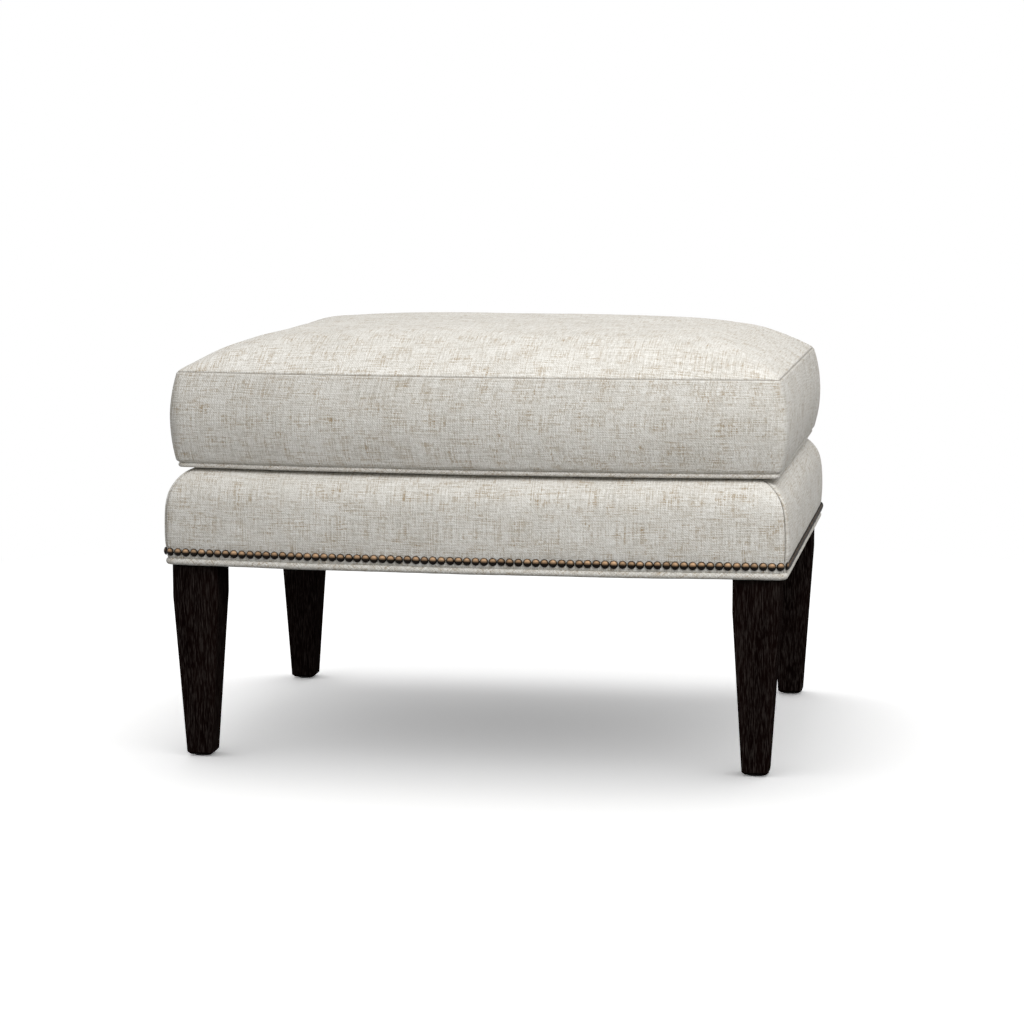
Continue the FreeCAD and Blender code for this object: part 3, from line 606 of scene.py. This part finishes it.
def makeCoverPanel(edge):
    # One side of the base: rows along the profile, with a sunk seam at each end and dips at the nails.
    rows = smoothLine(baseCover["profile"], 2) / 1000
    spot, _, _ = edgeLine(baseCover, 0, baseCover["corner"], edge, np.linspace(0, 1, 200))
    share = gradedShares(travelled(spot)[-1], baseCover["step"], baseCover["fineEnds"])
    slope = np.gradient(rows, axis=0)
    slope /= np.linalg.norm(slope, axis=1)[:, None]
    travel = travelled(rows)
    points, places, seam = [], [], []
    for (inset, height), (dInset, dHeight), far in zip(rows, slope, travel):
        corner = baseCover["corner"] + max(inset, 0) * baseCover["cornerSpread"] - min(inset, 0)
        spot, away, along = edgeLine(baseCover, inset, corner, edge, share)
        fromSeam = np.minimum(along - along[0], along[-1] - along)
        width = baseCover["seamWidth"]
        dip = baseCover["seamDip"] * np.exp(-(fromSeam / width) ** 2)
        dip -= baseCover["lip"] * np.exp(-((fromSeam / width - 2.6) ** 2) / 2)
        nearNails = math.exp(-((height - baseCover["nailLevel"]) / baseCover["nailReach"]) ** 2)
        wave = 0.5 + 0.5 * np.cos(2 * math.pi * along / baseCover["nailPitch"])
        dip += baseCover["nailDimple"] * nearNails * wave
        dip = np.where(height < baseCover["nailLevel"], dip * baseCover["belowNails"], dip)
        flat = np.stack([spot[:, 0], spot[:, 1], np.full(len(share), height)], 1)
        outward = np.stack([away[:, 0] * dHeight, away[:, 1] * dHeight, np.full(len(share), dInset)], 1)
        fixed = math.exp(-((height - deckLevel) / baseCover["deckReach"]) ** 2) * (inset > 0.03) + nearNails
        slack = unevenness(flat, baseCover["slackSize"], 3.1) + 0.5 * unevenness(flat, 0.03, 8.2)
        slack *= baseCover["slack"] * max(0.0, 1 - fixed)
        points.append(flat + outward * (slack - dip)[:, None])
        places.append(np.stack([along, np.full(len(share), far)], 1))
        # painted shade along each mitred seam
        seam.append(np.exp(-(fromSeam / (width * 0.7)) ** 2))
    points, places, seam = np.concatenate(points), np.concatenate(places), np.concatenate(seam)
    faces = gridFaces(len(rows), len(share))
    piece = makePiece(f"{edge}Cover", points, faces, places[np.array(faces).ravel()], finishes["linen"], seam)
    thickened(piece, baseCover["thickness"])
    refined(piece, 1)
    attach(piece, "base")
    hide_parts(f"cover_{edge}", f"padding_{edge}")


for edge in edges:
    makeCoverPanel(edge)
print("base covers are on")


# Deck cloth between the covers' lips

deck = {"inset": 0.0592, "corner": 0.004, "columns": 50, "rows": 40, "thickness": 0.0010, "sag": 0.0004}


def patchPoints(plan, inset, corner, shareX, shareY):
    # Fills an outline with a grid whose border lies on it, row by row from the front.
    front = edgeLine(plan, inset, corner, "front", shareX)[0]
    back = edgeLine(plan, inset, corner, "back", 1 - shareX)[0]
    left = edgeLine(plan, inset, corner, "left", 1 - shareY)[0]
    right = edgeLine(plan, inset, corner, "right", shareY)[0]
    u, v = shareX[None, :, None], shareY[:, None, None]
    sides = (1 - v) * front[None] + v * back[None] + (1 - u) * left[:, None] + u * right[:, None]
    corners = ((1 - u) * (1 - v) * front[0] + u * (1 - v) * front[-1] + (1 - u) * v * back[0]
               + u * v * back[-1])
    return (sides - corners).reshape(-1, 2)


def makeDeckCloth():
    shareX = np.linspace(0, 1, deck["columns"])
    shareY = np.linspace(0, 1, deck["rows"])
    flat = patchPoints(baseCover, deck["inset"], deck["corner"], shareX, shareY)
    points = np.column_stack([flat, np.full(len(flat), deckLevel - deck["sag"])])
    points[:, 2] += deck["sag"] * 0.8 * unevenness(points, 0.09, 5.5)
    faces = gridFaces(len(shareY), len(shareX))
    piece = makePiece("deckCloth", points, faces, flat[np.array(faces).ravel()], finishes["decking"])
    thickened(piece, deck["thickness"])
    settled(piece)
    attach(piece, "base")
    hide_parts("deck_cloth", "deck_foam")


makeDeckCloth()


# Welts: a cord in bias-cut cloth, sewn along an outline

welts = {
    "base": {"diameter": 0.0080, "level": 0.229, "sides": 16, "uneven": 0.00022},
    "cushion": {"diameter": 0.0056, "level": 0.3381, "sides": 14, "uneven": 0.00018},
    "edgeRun": 0.65,
    "step": 0.0045,
    "fineEnds": (0, 0.002, 0.004, 0.006, 0.0085, 0.012),
}


def makeWelt(name, plan, look, body, node):
    radius = look["diameter"] / 2
    ring, away = [], []
    share = gradedShares(welts["edgeRun"], welts["step"], welts["fineEnds"])
    for edge in edges:
        spot, out, _ = edgeLine(plan, radius, max(plan["corner"] - radius, 0.004), edge, share)
        ring.append(spot[:-1])
        away.append(out[:-1])
    ring, away = np.concatenate(ring), np.concatenate(away)
    count, sides = len(ring), look["sides"]
    travel = travelled(ring)
    rough = unevenness(np.column_stack([ring, np.zeros(count)]), 0.016, 2.2)
    turns = 2 * np.pi * np.arange(sides) / sides
    points = []
    for n in range(count):
        wide = radius + look["uneven"] * rough[n]
        reach, rise = wide * np.cos(turns), wide * np.sin(turns)
        level = look["level"] + look["uneven"] * 0.6 * math.sin(travel[n] / 0.031)
        points.append(np.column_stack([ring[n] + away[n] * reach[:, None], level + rise]))
    points = np.concatenate(points)
    faces, corners = [], []
    closing = travel[-1] + float(np.linalg.norm(ring[0] - ring[-1]))
    for n in range(count):
        after = (n + 1) % count
        start, end = travel[n], travel[n + 1] if n + 1 < count else closing
        for k in range(sides):
            over = (k + 1) % sides
            faces.append((n * sides + k, after * sides + k, after * sides + over, n * sides + over))
            low, high = radius * 2 * np.pi * k / sides, radius * 2 * np.pi * (k + 1) / sides
            for s, t in ((start, low), (end, low), (end, high), (start, high)):
                corners.append(((s - t) * math.sqrt(0.5), (s + t) * math.sqrt(0.5)))
    piece = makePiece(name, points, faces, corners, finishes["linen"])
    edited(piece, lambda mesh: bmesh.ops.recalc_face_normals(mesh, faces=mesh.faces))
    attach(piece, body)
    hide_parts(node)


cushionPlan = {"width": 0.687, "depth": 0.517, "bow": 0.020, "corner": 0.007}
makeWelt("baseWelt", baseCover, welts["base"], "base", "base_welt")
makeWelt("cushionWelt", cushionPlan, welts["cushion"], "cushion", "cushion_welt")
print("welts are sewn on")


# Cushion: a crowned box cover, swollen by a cloth simulation

cushion = {
    "crown": 0.0435,
    "crownPower": 6.5,
    "crownEase": 0.93,
    "cornerRound": 0.323,
    "bulge": 0.0088,
    "lean": 0.0009,  # how far the boxing leans out, for each half of its height
    "runs": (0.700, 0.520),
    "step": 0.0085,
    "fineEnds": (0, 0.0013, 0.0032, 0.0062, 0.0108),
    "underInset": 0.0062,
    "underCorner": 0.003,
    "underLift": 0.0003,
    "pressure": 4.0,
    "frames": 20,
    "cap": 0.0022,
    "seamDip": 0.0021,
    "seamLip": 0.0004,
    "pucker": 0.35,
    "unevenTop": 0.0016,
    "unevenSide": 0.0007,
    "zipHalf": 0.270,
    "slotHalf": 0.004,
    "slotFold": 0.0022,
    "bandHalf": 0.014,
    "bandFade": 0.012,
}


def crownHeights(flat):
    # Height over the seam: the rings that fill the top shrink towards a flat, rounder middle.
    a, b, bow = cushionPlan["width"] / 2, cushionPlan["depth"] / 2, cushionPlan["bow"]
    x, y = np.abs(flat[:, 0]), np.abs(flat[:, 1])
    low, high = np.full(len(flat), 0.02), np.full(len(flat), 1.0)
    for _ in range(40):
        s = (low + high) / 2
        bend = y - s * bow * (1 - np.minimum(1, x / (s * a)) ** 2)
        corner = np.minimum(cushionPlan["corner"] + cushion["cornerRound"] * (1 - s), 0.98 * s * b)
        qx, qy = x - s * a + corner, bend - s * b + corner
        distance = np.hypot(np.maximum(qx, 0), np.maximum(qy, 0)) + np.minimum(np.maximum(qx, qy), 0)
        outside = distance - corner > 0
        low, high = np.where(outside, s, low), np.where(outside, high, s)
    return cushion["crown"] * (1 - np.minimum(1, high) ** cushion["crownPower"]) ** cushion["crownEase"], high


def cushionRows():
    # Rows of the boxing from the top seam down, as (outset, height), then under the welt.
    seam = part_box("cushion_boxing")[1].z
    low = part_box("cushion_boxing")[0].z
    middle, half = (seam + low) / 2, (seam - low) / 2
    heights = [seam - down for down in cushion["fineEnds"]]
    heights += list(np.linspace(heights[-1], middle + cushion["slotHalf"], 6)[1:])
    heights += [middle]
    heights += list(np.linspace(middle - cushion["slotHalf"], low + 0.004, 7))
    heights += [low + 0.0012]
    rows = []
    for height in heights:
        share = (height - middle) / half
        rows.append((cushion["bulge"] * (1 - share * share) + cushion["lean"] * (1 - share), height))
    rows += [(-0.0034, low - 0.0012), (-0.0046, low - 0.0036)]
    return rows, middle


def borderOf(index):
    # The outermost points of a grid, once round.
    return np.concatenate([index[0, :-1], index[:-1, -1], index[-1, :0:-1], index[:0:-1, 0]])


def makeCushion():
    shareX, shareY = (gradedShares(run, cushion["step"], cushion["fineEnds"]) for run in cushion["runs"])
    columns, lines = len(shareX), len(shareY)
    rows, middle = cushionRows()
    seamLevel = rows[0][1]

    top = patchPoints(cushionPlan, 0, cushionPlan["corner"], shareX, shareY)
    rise, ring = crownHeights(top)
    inner = np.zeros((lines, columns), bool)
    inner[1:-1, 1:-1] = True
    rise = np.where(inner.ravel(), rise, 0)
    points = [np.column_stack([top, seamLevel + rise])]
    border = borderOf(np.arange(lines * columns).reshape(lines, columns))

    loops, travels, awayRows = [border], [], []
    start = lines * columns
    for n, (outset, height) in enumerate(rows):
        spots, aways, alongs, run = [], [], [], 0.0
        share = (height - middle) / (seamLevel - middle)
        corner = max(cushionPlan["corner"] + outset + 0.004 * max(0, 1 - share * share), 0.003)
        for edge in edges:
            spread = shareX if edge in ("front", "back") else shareY
            spot, away, along = edgeLine(cushionPlan, -outset, corner, edge, spread)
            spots.append(spot[:-1])
            aways.append(away[:-1])
            alongs.append(along[:-1] - along[0] + run)
            run += float(along[-1] - along[0])
        travels.append((np.concatenate(alongs), run))
        awayRows.append(np.concatenate(aways))
        if n > 0:
            flat = np.concatenate(spots)
            points.append(np.column_stack([flat, np.full(len(flat), height)]))
            loops.append(np.arange(start, start + len(flat)))
            start += len(flat)
    under = patchPoints(cushionPlan, cushion["underInset"], cushion["underCorner"], shareX, shareY)
    under = np.column_stack([under, np.full(len(under), seatLevel + cushion["underLift"])])
    underIndex = np.arange(start, start + lines * columns).reshape(lines, columns)
    points.append(under)
    loops.append(borderOf(underIndex))
    travels.append(travels[-1])
    points = np.concatenate(points)

    faces = gridFaces(lines, columns)
    corners = [tuple(points[i, :2]) for face in faces for i in face]
    count = len(border)
    low = 0.31  # the boxing's weave starts beyond the top's
    for upper, lower, (run, total) in zip(loops, loops[1:], travels):
        high = low
        low -= float(np.linalg.norm(points[upper[5]] - points[lower[5]]))
        for c in range(count):
            e = (c + 1) % count
            start, end = run[c], run[e] if e else total
            faces.append(tuple(int(i) for i in (upper[c], lower[c], lower[e], upper[e])))
            corners += [(start, high), (start, low), (end, low), (end, high)]
    first = len(faces)
    faces += gridFaces(lines, columns, int(underIndex[0, 0]), flip=True)
    corners += [tuple(points[i, :2] + 0.5) for face in faces[first:] for i in face]

    # painted shade along the top seam
    seam = np.zeros(len(points))
    seam[border] = 1
    piece = makePiece("cushionCover", points, faces, corners, finishes["linen"], seam)
    swell(piece, points, np.concatenate([underIndex.ravel(), *loops[-4:], border]))
    shapeCushion(piece, points, border, loops, awayRows, middle, top, ring)
    refined(piece, 1)
    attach(piece, "cushion")
    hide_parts("cushion_top", "cushion_boxing", "zip_band", "cushion_bottom", "foam_core",
                "fibre_crown", "fibre_base")
    return piece, middle


def readPoints(mesh):
    flat = np.empty(len(mesh.vertices) * 3)
    mesh.vertices.foreach_get("co", flat)
    return flat.reshape(-1, 3)


def swell(piece, points, fixed):
    # Blows the cover up a little as cloth, held at the seams and where it lies on the deck.
    held = piece.vertex_groups.new(name="held")
    held.add([int(i) for i in fixed], 1.0, "REPLACE")
    modifier = piece.modifiers.new("Cloth", "CLOTH")
    cloth = modifier.settings
    cloth.quality = 5
    cloth.use_pressure = True
    cloth.uniform_pressure_force = cushion["pressure"]
    cloth.effector_weights.gravity = 0
    cloth.vertex_group_mass = "held"
    modifier.point_cache.frame_start = 1
    modifier.point_cache.frame_end = cushion["frames"]
    scene.frame_start, scene.frame_end = 1, cushion["frames"]
    for number in range(1, cushion["frames"] + 1):
        scene.frame_set(number)
    graph = bpy.context.evaluated_depsgraph_get()
    swollen = readPoints(piece.evaluated_get(graph).data)
    moved = swollen - points
    length = np.linalg.norm(moved, axis=1)
    print("cloth moved by up to", round(float(length.max()) * 1000, 1), "mm")
    allowed = cushion["cap"] * np.tanh(length / cushion["cap"])
    moved *= (allowed / np.maximum(length, 1e-9))[:, None]
    scene.frame_set(1)
    piece.modifiers.remove(modifier)
    piece.data.vertices.foreach_set("co", (points + moved).ravel())
    piece.data.update()


def shapeCushion(piece, rest, border, loops, awayRows, middle, top, ring):
    # Uneven filling, the sewn seam, and a true zip band at the back.
    points = readPoints(piece.data)
    crown = np.arange(len(top))
    inside = np.clip((1 - ring) / 0.06, 0, 1)
    points[crown, 2] += inside * cushion["unevenTop"] * (
        unevenness(points[crown], 0.13, 1.3) + 0.45 * unevenness(points[crown], 0.05, 4.4))
    for r in range(1, len(loops) - 3):
        share = min(1.0, r / 4)
        push = cushion["unevenSide"] * share * (
            unevenness(points[loops[r]], 0.08, 6.1) + 0.5 * unevenness(points[loops[r]], 0.03, 9.7))
        points[loops[r], :2] += awayRows[r] * push[:, None]
    puckers = 1 + cushion["pucker"] * unevenness(points[border], 0.012, 7.7)
    points[border, :2] -= awayRows[0] * (cushion["seamDip"] * 0.75 * puckers)[:, None]
    points[border, 2] -= cushion["seamDip"] * 0.35 * puckers
    points[loops[1], :2] += awayRows[1] * cushion["seamLip"]
    zone = np.concatenate(loops[1:-3])
    height = points[zone, 2] - middle
    reach = np.clip(1 - (np.abs(height) - cushion["bandHalf"]) / cushion["bandFade"], 0, 1)
    reach *= np.clip(1 - (np.abs(points[zone, 0]) - cushion["zipHalf"] - 0.008) / 0.02, 0, 1)
    reach *= points[zone, 1] > 0
    points[zone] = points[zone] * (1 - reach[:, None]) + rest[zone] * reach[:, None]
    piece.data.vertices.foreach_set("co", points.ravel())
    edited(piece, lambda mesh: openSlot(mesh, middle))
    piece.data.polygons.foreach_set("use_smooth", [True] * len(piece.data.polygons))


def isSlotFace(face, middle):
    centre = face.calc_center_median()
    near = abs(centre.z - middle) < cushion["slotHalf"] and centre.y > 0.2
    return near and abs(centre.x) < cushion["zipHalf"] + 0.004 and abs(face.normal.y) > 0.5


def openSlot(mesh, middle):
    # Cuts the slot for the zip, and folds its edge inwards.
    bmesh.ops.delete(mesh, geom=[f for f in mesh.faces if isSlotFace(f, middle)], context="FACES")
    rim = [e for e in mesh.edges if len(e.link_faces) == 1]
    for part in bmesh.ops.extrude_edge_only(mesh, edges=rim)["geom"]:
        if isinstance(part, bmesh.types.BMVert):
            part.co.y -= cushion["slotFold"]


cushionCover, zipLevel = makeCushion()
print("cushion is filled:", len(cushionCover.data.polygons), "faces")


# Pieces that repeat along a line: nails and zip teeth

def makeRowTree():
    tree = bpy.data.node_groups.new("rowOfPieces", "GeometryNodeTree")
    sockets = (("Points", "Geometry"), ("Piece", "Object"), ("Size", "Vector"), ("Size Spread", "Float"),
               ("Tilt", "Float"), ("Seed", "Int"), ("Material", "Material"))
    for label, kind in sockets:
        tree.interface.new_socket(label, in_out="INPUT", socket_type="NodeSocket" + kind)
    tree.interface.new_socket("Geometry", in_out="OUTPUT", socket_type="NodeSocketGeometry")
    given = put(tree, "NodeGroupInput").outputs
    unit = put(tree, "GeometryNodeObjectInfo", {"Object": given["Piece"]})
    facing = put(tree, "GeometryNodeInputNamedAttribute", {"Name": "facing"}, data_type="FLOAT_VECTOR")
    along = put(tree, "GeometryNodeInputNamedAttribute", {"Name": "along"}, data_type="FLOAT_VECTOR")
    upright = put(tree, "FunctionNodeAlignRotationToVector", {"Vector": facing.outputs[0]}, axis="Z")
    level = put(tree, "FunctionNodeAlignRotationToVector",
                {"Rotation": upright.outputs[0], "Vector": along.outputs[0]}, axis="X", pivot_axis="Z")
    wobble = put(tree, "FunctionNodeRandomValue", {0: (-1, -1, -1), 1: (1, 1, 1), "Seed": given["Seed"]},
                 data_type="FLOAT_VECTOR")
    tilt = put(tree, "ShaderNodeVectorMath", {0: wobble.outputs[0], "Scale": given["Tilt"]},
               operation="SCALE")
    lean = put(tree, "FunctionNodeEulerToRotation", {0: tilt.outputs[0]})
    turned = put(tree, "FunctionNodeRotateRotation",
                 {"Rotation": level.outputs[0], "Rotate By": lean.outputs[0]}, rotation_space="LOCAL")
    chance = put(tree, "FunctionNodeRandomValue", {2: -1.0, 3: 1.0, "Seed": given["Seed"]}, data_type="FLOAT")
    grown = put(tree, "ShaderNodeMath", {0: chance.outputs[1], 1: given["Size Spread"], 2: 1.0},
                operation="MULTIPLY_ADD")
    size = put(tree, "ShaderNodeVectorMath", {0: given["Size"], "Scale": grown.outputs[0]}, operation="SCALE")
    placed = put(tree, "GeometryNodeInstanceOnPoints",
                 {"Points": given["Points"], "Instance": unit.outputs["Geometry"],
                  "Rotation": turned.outputs[0], "Scale": size.outputs[0]})
    tone = put(tree, "FunctionNodeRandomValue", {2: 0.0, 3: 1.0, "Seed": given["Seed"]}, data_type="FLOAT")
    toned = put(tree, "GeometryNodeStoreNamedAttribute",
                {"Geometry": placed.outputs[0], "Name": "tone", "Value": tone.outputs[1]},
                data_type="FLOAT", domain="INSTANCE")
    real = put(tree, "GeometryNodeRealizeInstances", {"Geometry": toned.outputs[0]})
    painted = put(tree, "GeometryNodeSetMaterial",
                  {"Geometry": real.outputs[0], "Material": given["Material"]})
    put(tree, "NodeGroupOutput", {"Geometry": painted.outputs[0]})
    return tree


rowTree = makeRowTree()


def makeRow(name, unit, spots, facing, along, body, slot, replaced, **values):
    # Sets one small piece at each spot, turned to face outwards, as one plain mesh.
    mesh = bpy.data.meshes.new(name)
    mesh.from_pydata([tuple(p) for p in spots], [], [])
    for label, vectors in (("facing", facing), ("along", along)):
        attribute = mesh.attributes.new(label, "FLOAT_VECTOR", "POINT")
        attribute.data.foreach_set("vector", np.asarray(vectors, float).ravel())
    piece = bpy.data.objects.new(name, mesh)
    scene.collection.objects.link(piece)
    modifier = piece.modifiers.new("row", "NODES")
    modifier.node_group = rowTree
    values["Piece"] = unit
    sockets = {item.name: item.identifier for item in rowTree.interface.items_tree if item.in_out == "INPUT"}
    for label, value in values.items():
        modifier[sockets[label.replace("_", " ")]] = value
    settled(piece)
    piece.data.polygons.foreach_set("use_smooth", [True] * len(piece.data.polygons))
    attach(piece, body)
    if replaced:
        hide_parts(*replaced)
    return piece


def unitPiece(name, rings):
    # A small closed form from rings of points, from the lowest up; a ring of one point is a tip.
    mesh = bmesh.new()
    crown = mesh.verts.layers.float.new("crown")
    low, high = rings[0][0][2], rings[-1][0][2]
    made = [[mesh.verts.new(p) for p in ring] for ring in rings]
    for vertex in mesh.verts:
        vertex[crown] = (vertex.co.z - low) / (high - low)
    mesh.faces.new(made[0][::-1])
    for lower, upper in zip(made, made[1:]):
        for n in range(len(lower)):
            m = (n + 1) % len(lower)
            if len(upper) == 1:
                mesh.faces.new((lower[n], lower[m], upper[0]))
            else:
                mesh.faces.new((lower[n], lower[m], upper[m], upper[n]))
    if len(made[-1]) > 1:
        mesh.faces.new(made[-1])
    data = bpy.data.meshes.new(name)
    mesh.to_mesh(data)
    mesh.free()
    return bpy.data.objects.new(name, data)


def roundRing(radius, level, sides=12):
    return [(radius * math.cos(2 * math.pi * n / sides), radius * math.sin(2 * math.pi * n / sides), level)
            for n in range(sides)]


def boxRing(x, y, level):
    return [(-x, -y, level), (x, -y, level), (x, y, level), (-x, y, level)]


nails = {
    "width": 0.0097,
    "rise": 0.0031,
    "spread": 0.025,
    "tilt": 0.09,
    "drift": 0.00018,
    "seed": 4,
}


def makeNails():
    head = unitPiece("nailHead", [roundRing(0.44, -0.12), roundRing(0.5, 0.02)] +
                     [roundRing(0.5 * math.cos(a), math.sin(a)) for a in np.radians((20, 40, 60, 76))] +
                     [[(0, 0, 1.0)]])
    spots, facing, along = [], [], []
    for edge in edges:
        run = edgeLine(baseCover, baseCover["nailInset"], baseCover["corner"], edge, [0, 1])[2]
        count = round((run[1] - run[0]) / baseCover["nailPitch"])
        share = (np.arange(count) + 0.5) / count
        spot, away, _ = edgeLine(baseCover, baseCover["nailInset"], baseCover["corner"], edge, share)
        height = np.full(count, baseCover["nailLevel"])
        flat = np.column_stack([spot, height])
        flat[:, 2] += nails["drift"] * 2 * unevenness(flat, 0.004, 12.1)
        tangent = np.column_stack([-away[:, 1], away[:, 0]])
        flat[:, :2] += tangent * (nails["drift"] * 2 * unevenness(flat, 0.004, 15.3))[:, None]
        spots.append(flat)
        facing.append(np.column_stack([away, np.zeros(count)]))
        along.append(np.column_stack([tangent, np.zeros(count)]))
    spots, facing, along = np.concatenate(spots), np.concatenate(facing), np.concatenate(along)
    row = makeRow("nailRow", head, spots, facing, along, "base", "nail_brass",
                  ["nails_front", "nails_back", "nails_left", "nails_right"],
                  Size=(nails["width"], nails["width"], nails["rise"]), Size_Spread=nails["spread"],
                  Tilt=nails["tilt"], Seed=nails["seed"], Material=finishes["bronze"])
    print("nails are in:", len(spots), "heads,", len(row.data.polygons), "faces")


makeNails()


# Zip in the back boxing

zipper = {
    "radius": 2.96866,
    "centre": -2.68131,
    "half": 0.270,
    "tapeHalf": 0.011,
    "tapeThickness": 0.0008,
    "tapeBack": 0.0024,
    "tapeBulge": 0.0003,
    "toothBack": 0.0019,
    "toothPitch": 0.0024,
    "tooth": (0.0015, 0.0021, 0.0016),
    "stagger": 0.0007,
}


def onBack(radius, swing):
    return np.column_stack([radius * np.sin(swing), zipper["centre"] + radius * np.cos(swing)])


def makeZip():
    swing = np.linspace(-1, 1, 121) * math.asin(zipper["half"] / zipper["radius"])
    rows = np.array([-1, -0.55, -0.2, 0.2, 0.55, 1]) * zipper["tapeHalf"]
    outer = zipper["radius"] - zipper["tapeBack"]
    points, places = [], []
    for row in rows:
        flat = onBack(outer + zipper["tapeBulge"] * math.cos(row / zipper["tapeHalf"] * 3), swing)
        points.append(np.column_stack([flat, np.full(len(swing), zipLevel + row)]))
        places.append(np.column_stack([swing * outer, np.full(len(swing), row)]))
    points, places = np.concatenate(points), np.concatenate(places)
    faces = gridFaces(len(rows), len(swing), flip=True)
    tape = makePiece("zipTape", points, faces, places[np.array(faces).ravel()], finishes["zipTape"])
    thickened(tape, zipper["tapeThickness"])
    settled(tape)
    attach(tape, "cushion")
    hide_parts("zip_chain")
    tooth = unitPiece("zipTooth", [boxRing(0.5, 0.42, 0), boxRing(0.5, 0.5, 0.25), boxRing(0.42, 0.5, 0.8),
                                   boxRing(0.25, 0.35, 1.0)])
    count = int(2 * zipper["half"] / zipper["toothPitch"]) - 2
    swing = (np.arange(count) - (count - 1) / 2) * zipper["toothPitch"] / zipper["radius"]
    flat = onBack(zipper["radius"] - zipper["toothBack"], swing)
    stagger = np.where(np.arange(count) % 2, 1, -1) * zipper["stagger"]
    spots = np.column_stack([flat, zipLevel + stagger])
    facing = np.column_stack([np.sin(swing), np.cos(swing), np.zeros(count)])
    along = np.column_stack([np.cos(swing), -np.sin(swing), np.zeros(count)])
    makeRow("zipTeeth", tooth, spots, facing, along, "cushion", "zip_metal", [], Size=zipper["tooth"],
            Material=finishes["zipBrass"])


makeZip()
print("zip is sewn in")


# Dust cover: thin black cloth stretched under the frame, cut out round the legs

dust = {
    "inset": 0.0142,
    "level": 0.2247,
    "thickness": 0.0005,
    "sag": 0.0022,
    "step": 0.014,
    "legX": 0.3205,  # the middle of each leg's cut-out, and its side
    "legY": 0.2465,
    "legSide": 0.0542,
}


def dustLines(half, leg):
    # Grid lines from the middle to the edge, with one at the cut-out for the leg.
    cut = leg - dust["legSide"] / 2
    inner = np.linspace(0, cut, max(2, round(cut / dust["step"])) + 1)
    outer = np.linspace(cut, half, 4)[1:]
    side = np.concatenate([inner, outer])
    return np.concatenate([-side[:0:-1], side]), cut


def withoutLoosePoints(mesh):
    bmesh.ops.delete(mesh, geom=[v for v in mesh.verts if not v.link_faces], context="VERTS")


def makeDustCover():
    halfX = baseCover["width"] / 2 - dust["inset"]
    halfY = baseCover["depth"] / 2 - dust["inset"]
    xs, cutX = dustLines(halfX, dust["legX"])
    ys, cutY = dustLines(halfY, dust["legY"])
    bowed = baseCover["bow"] * (1 - (xs / (baseCover["width"] / 2)) ** 2)
    points = []
    for y in ys:
        past = np.clip((abs(y) - cutY) / (halfY - cutY), 0, 1)
        spread = abs(y) + bowed * past
        points.append(np.column_stack([xs, np.sign(y) * spread, np.zeros(len(xs))]))
    points = np.concatenate(points)
    shareX = np.clip(1 - np.abs(points[:, 0]) / halfX, 0, 1)
    shareY = np.clip(1 - np.abs(points[:, 1]) / halfY, 0, 1)
    sag = dust["sag"] * np.sqrt(shareX * shareY) * (0.75 + 0.35 * unevenness(points, 0.12, 2.9))
    points[:, 2] = dust["level"] - sag
    faces = []
    for face in gridFaces(len(ys), len(xs), flip=True):
        centre = points[list(face)].mean(axis=0)
        if not (abs(centre[0]) > cutX and abs(centre[1]) > cutY):
            faces.append(face)
    flat = points[:, :2][np.array(faces).ravel()]
    piece = makePiece("dustCover", points, faces, flat, finishes["cambric"])
    edited(piece, withoutLoosePoints)
    thickened(piece, dust["thickness"])
    settled(piece)
    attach(piece, "base")
    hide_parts("dust_cover")


makeDustCover()
print("dust cover is on")
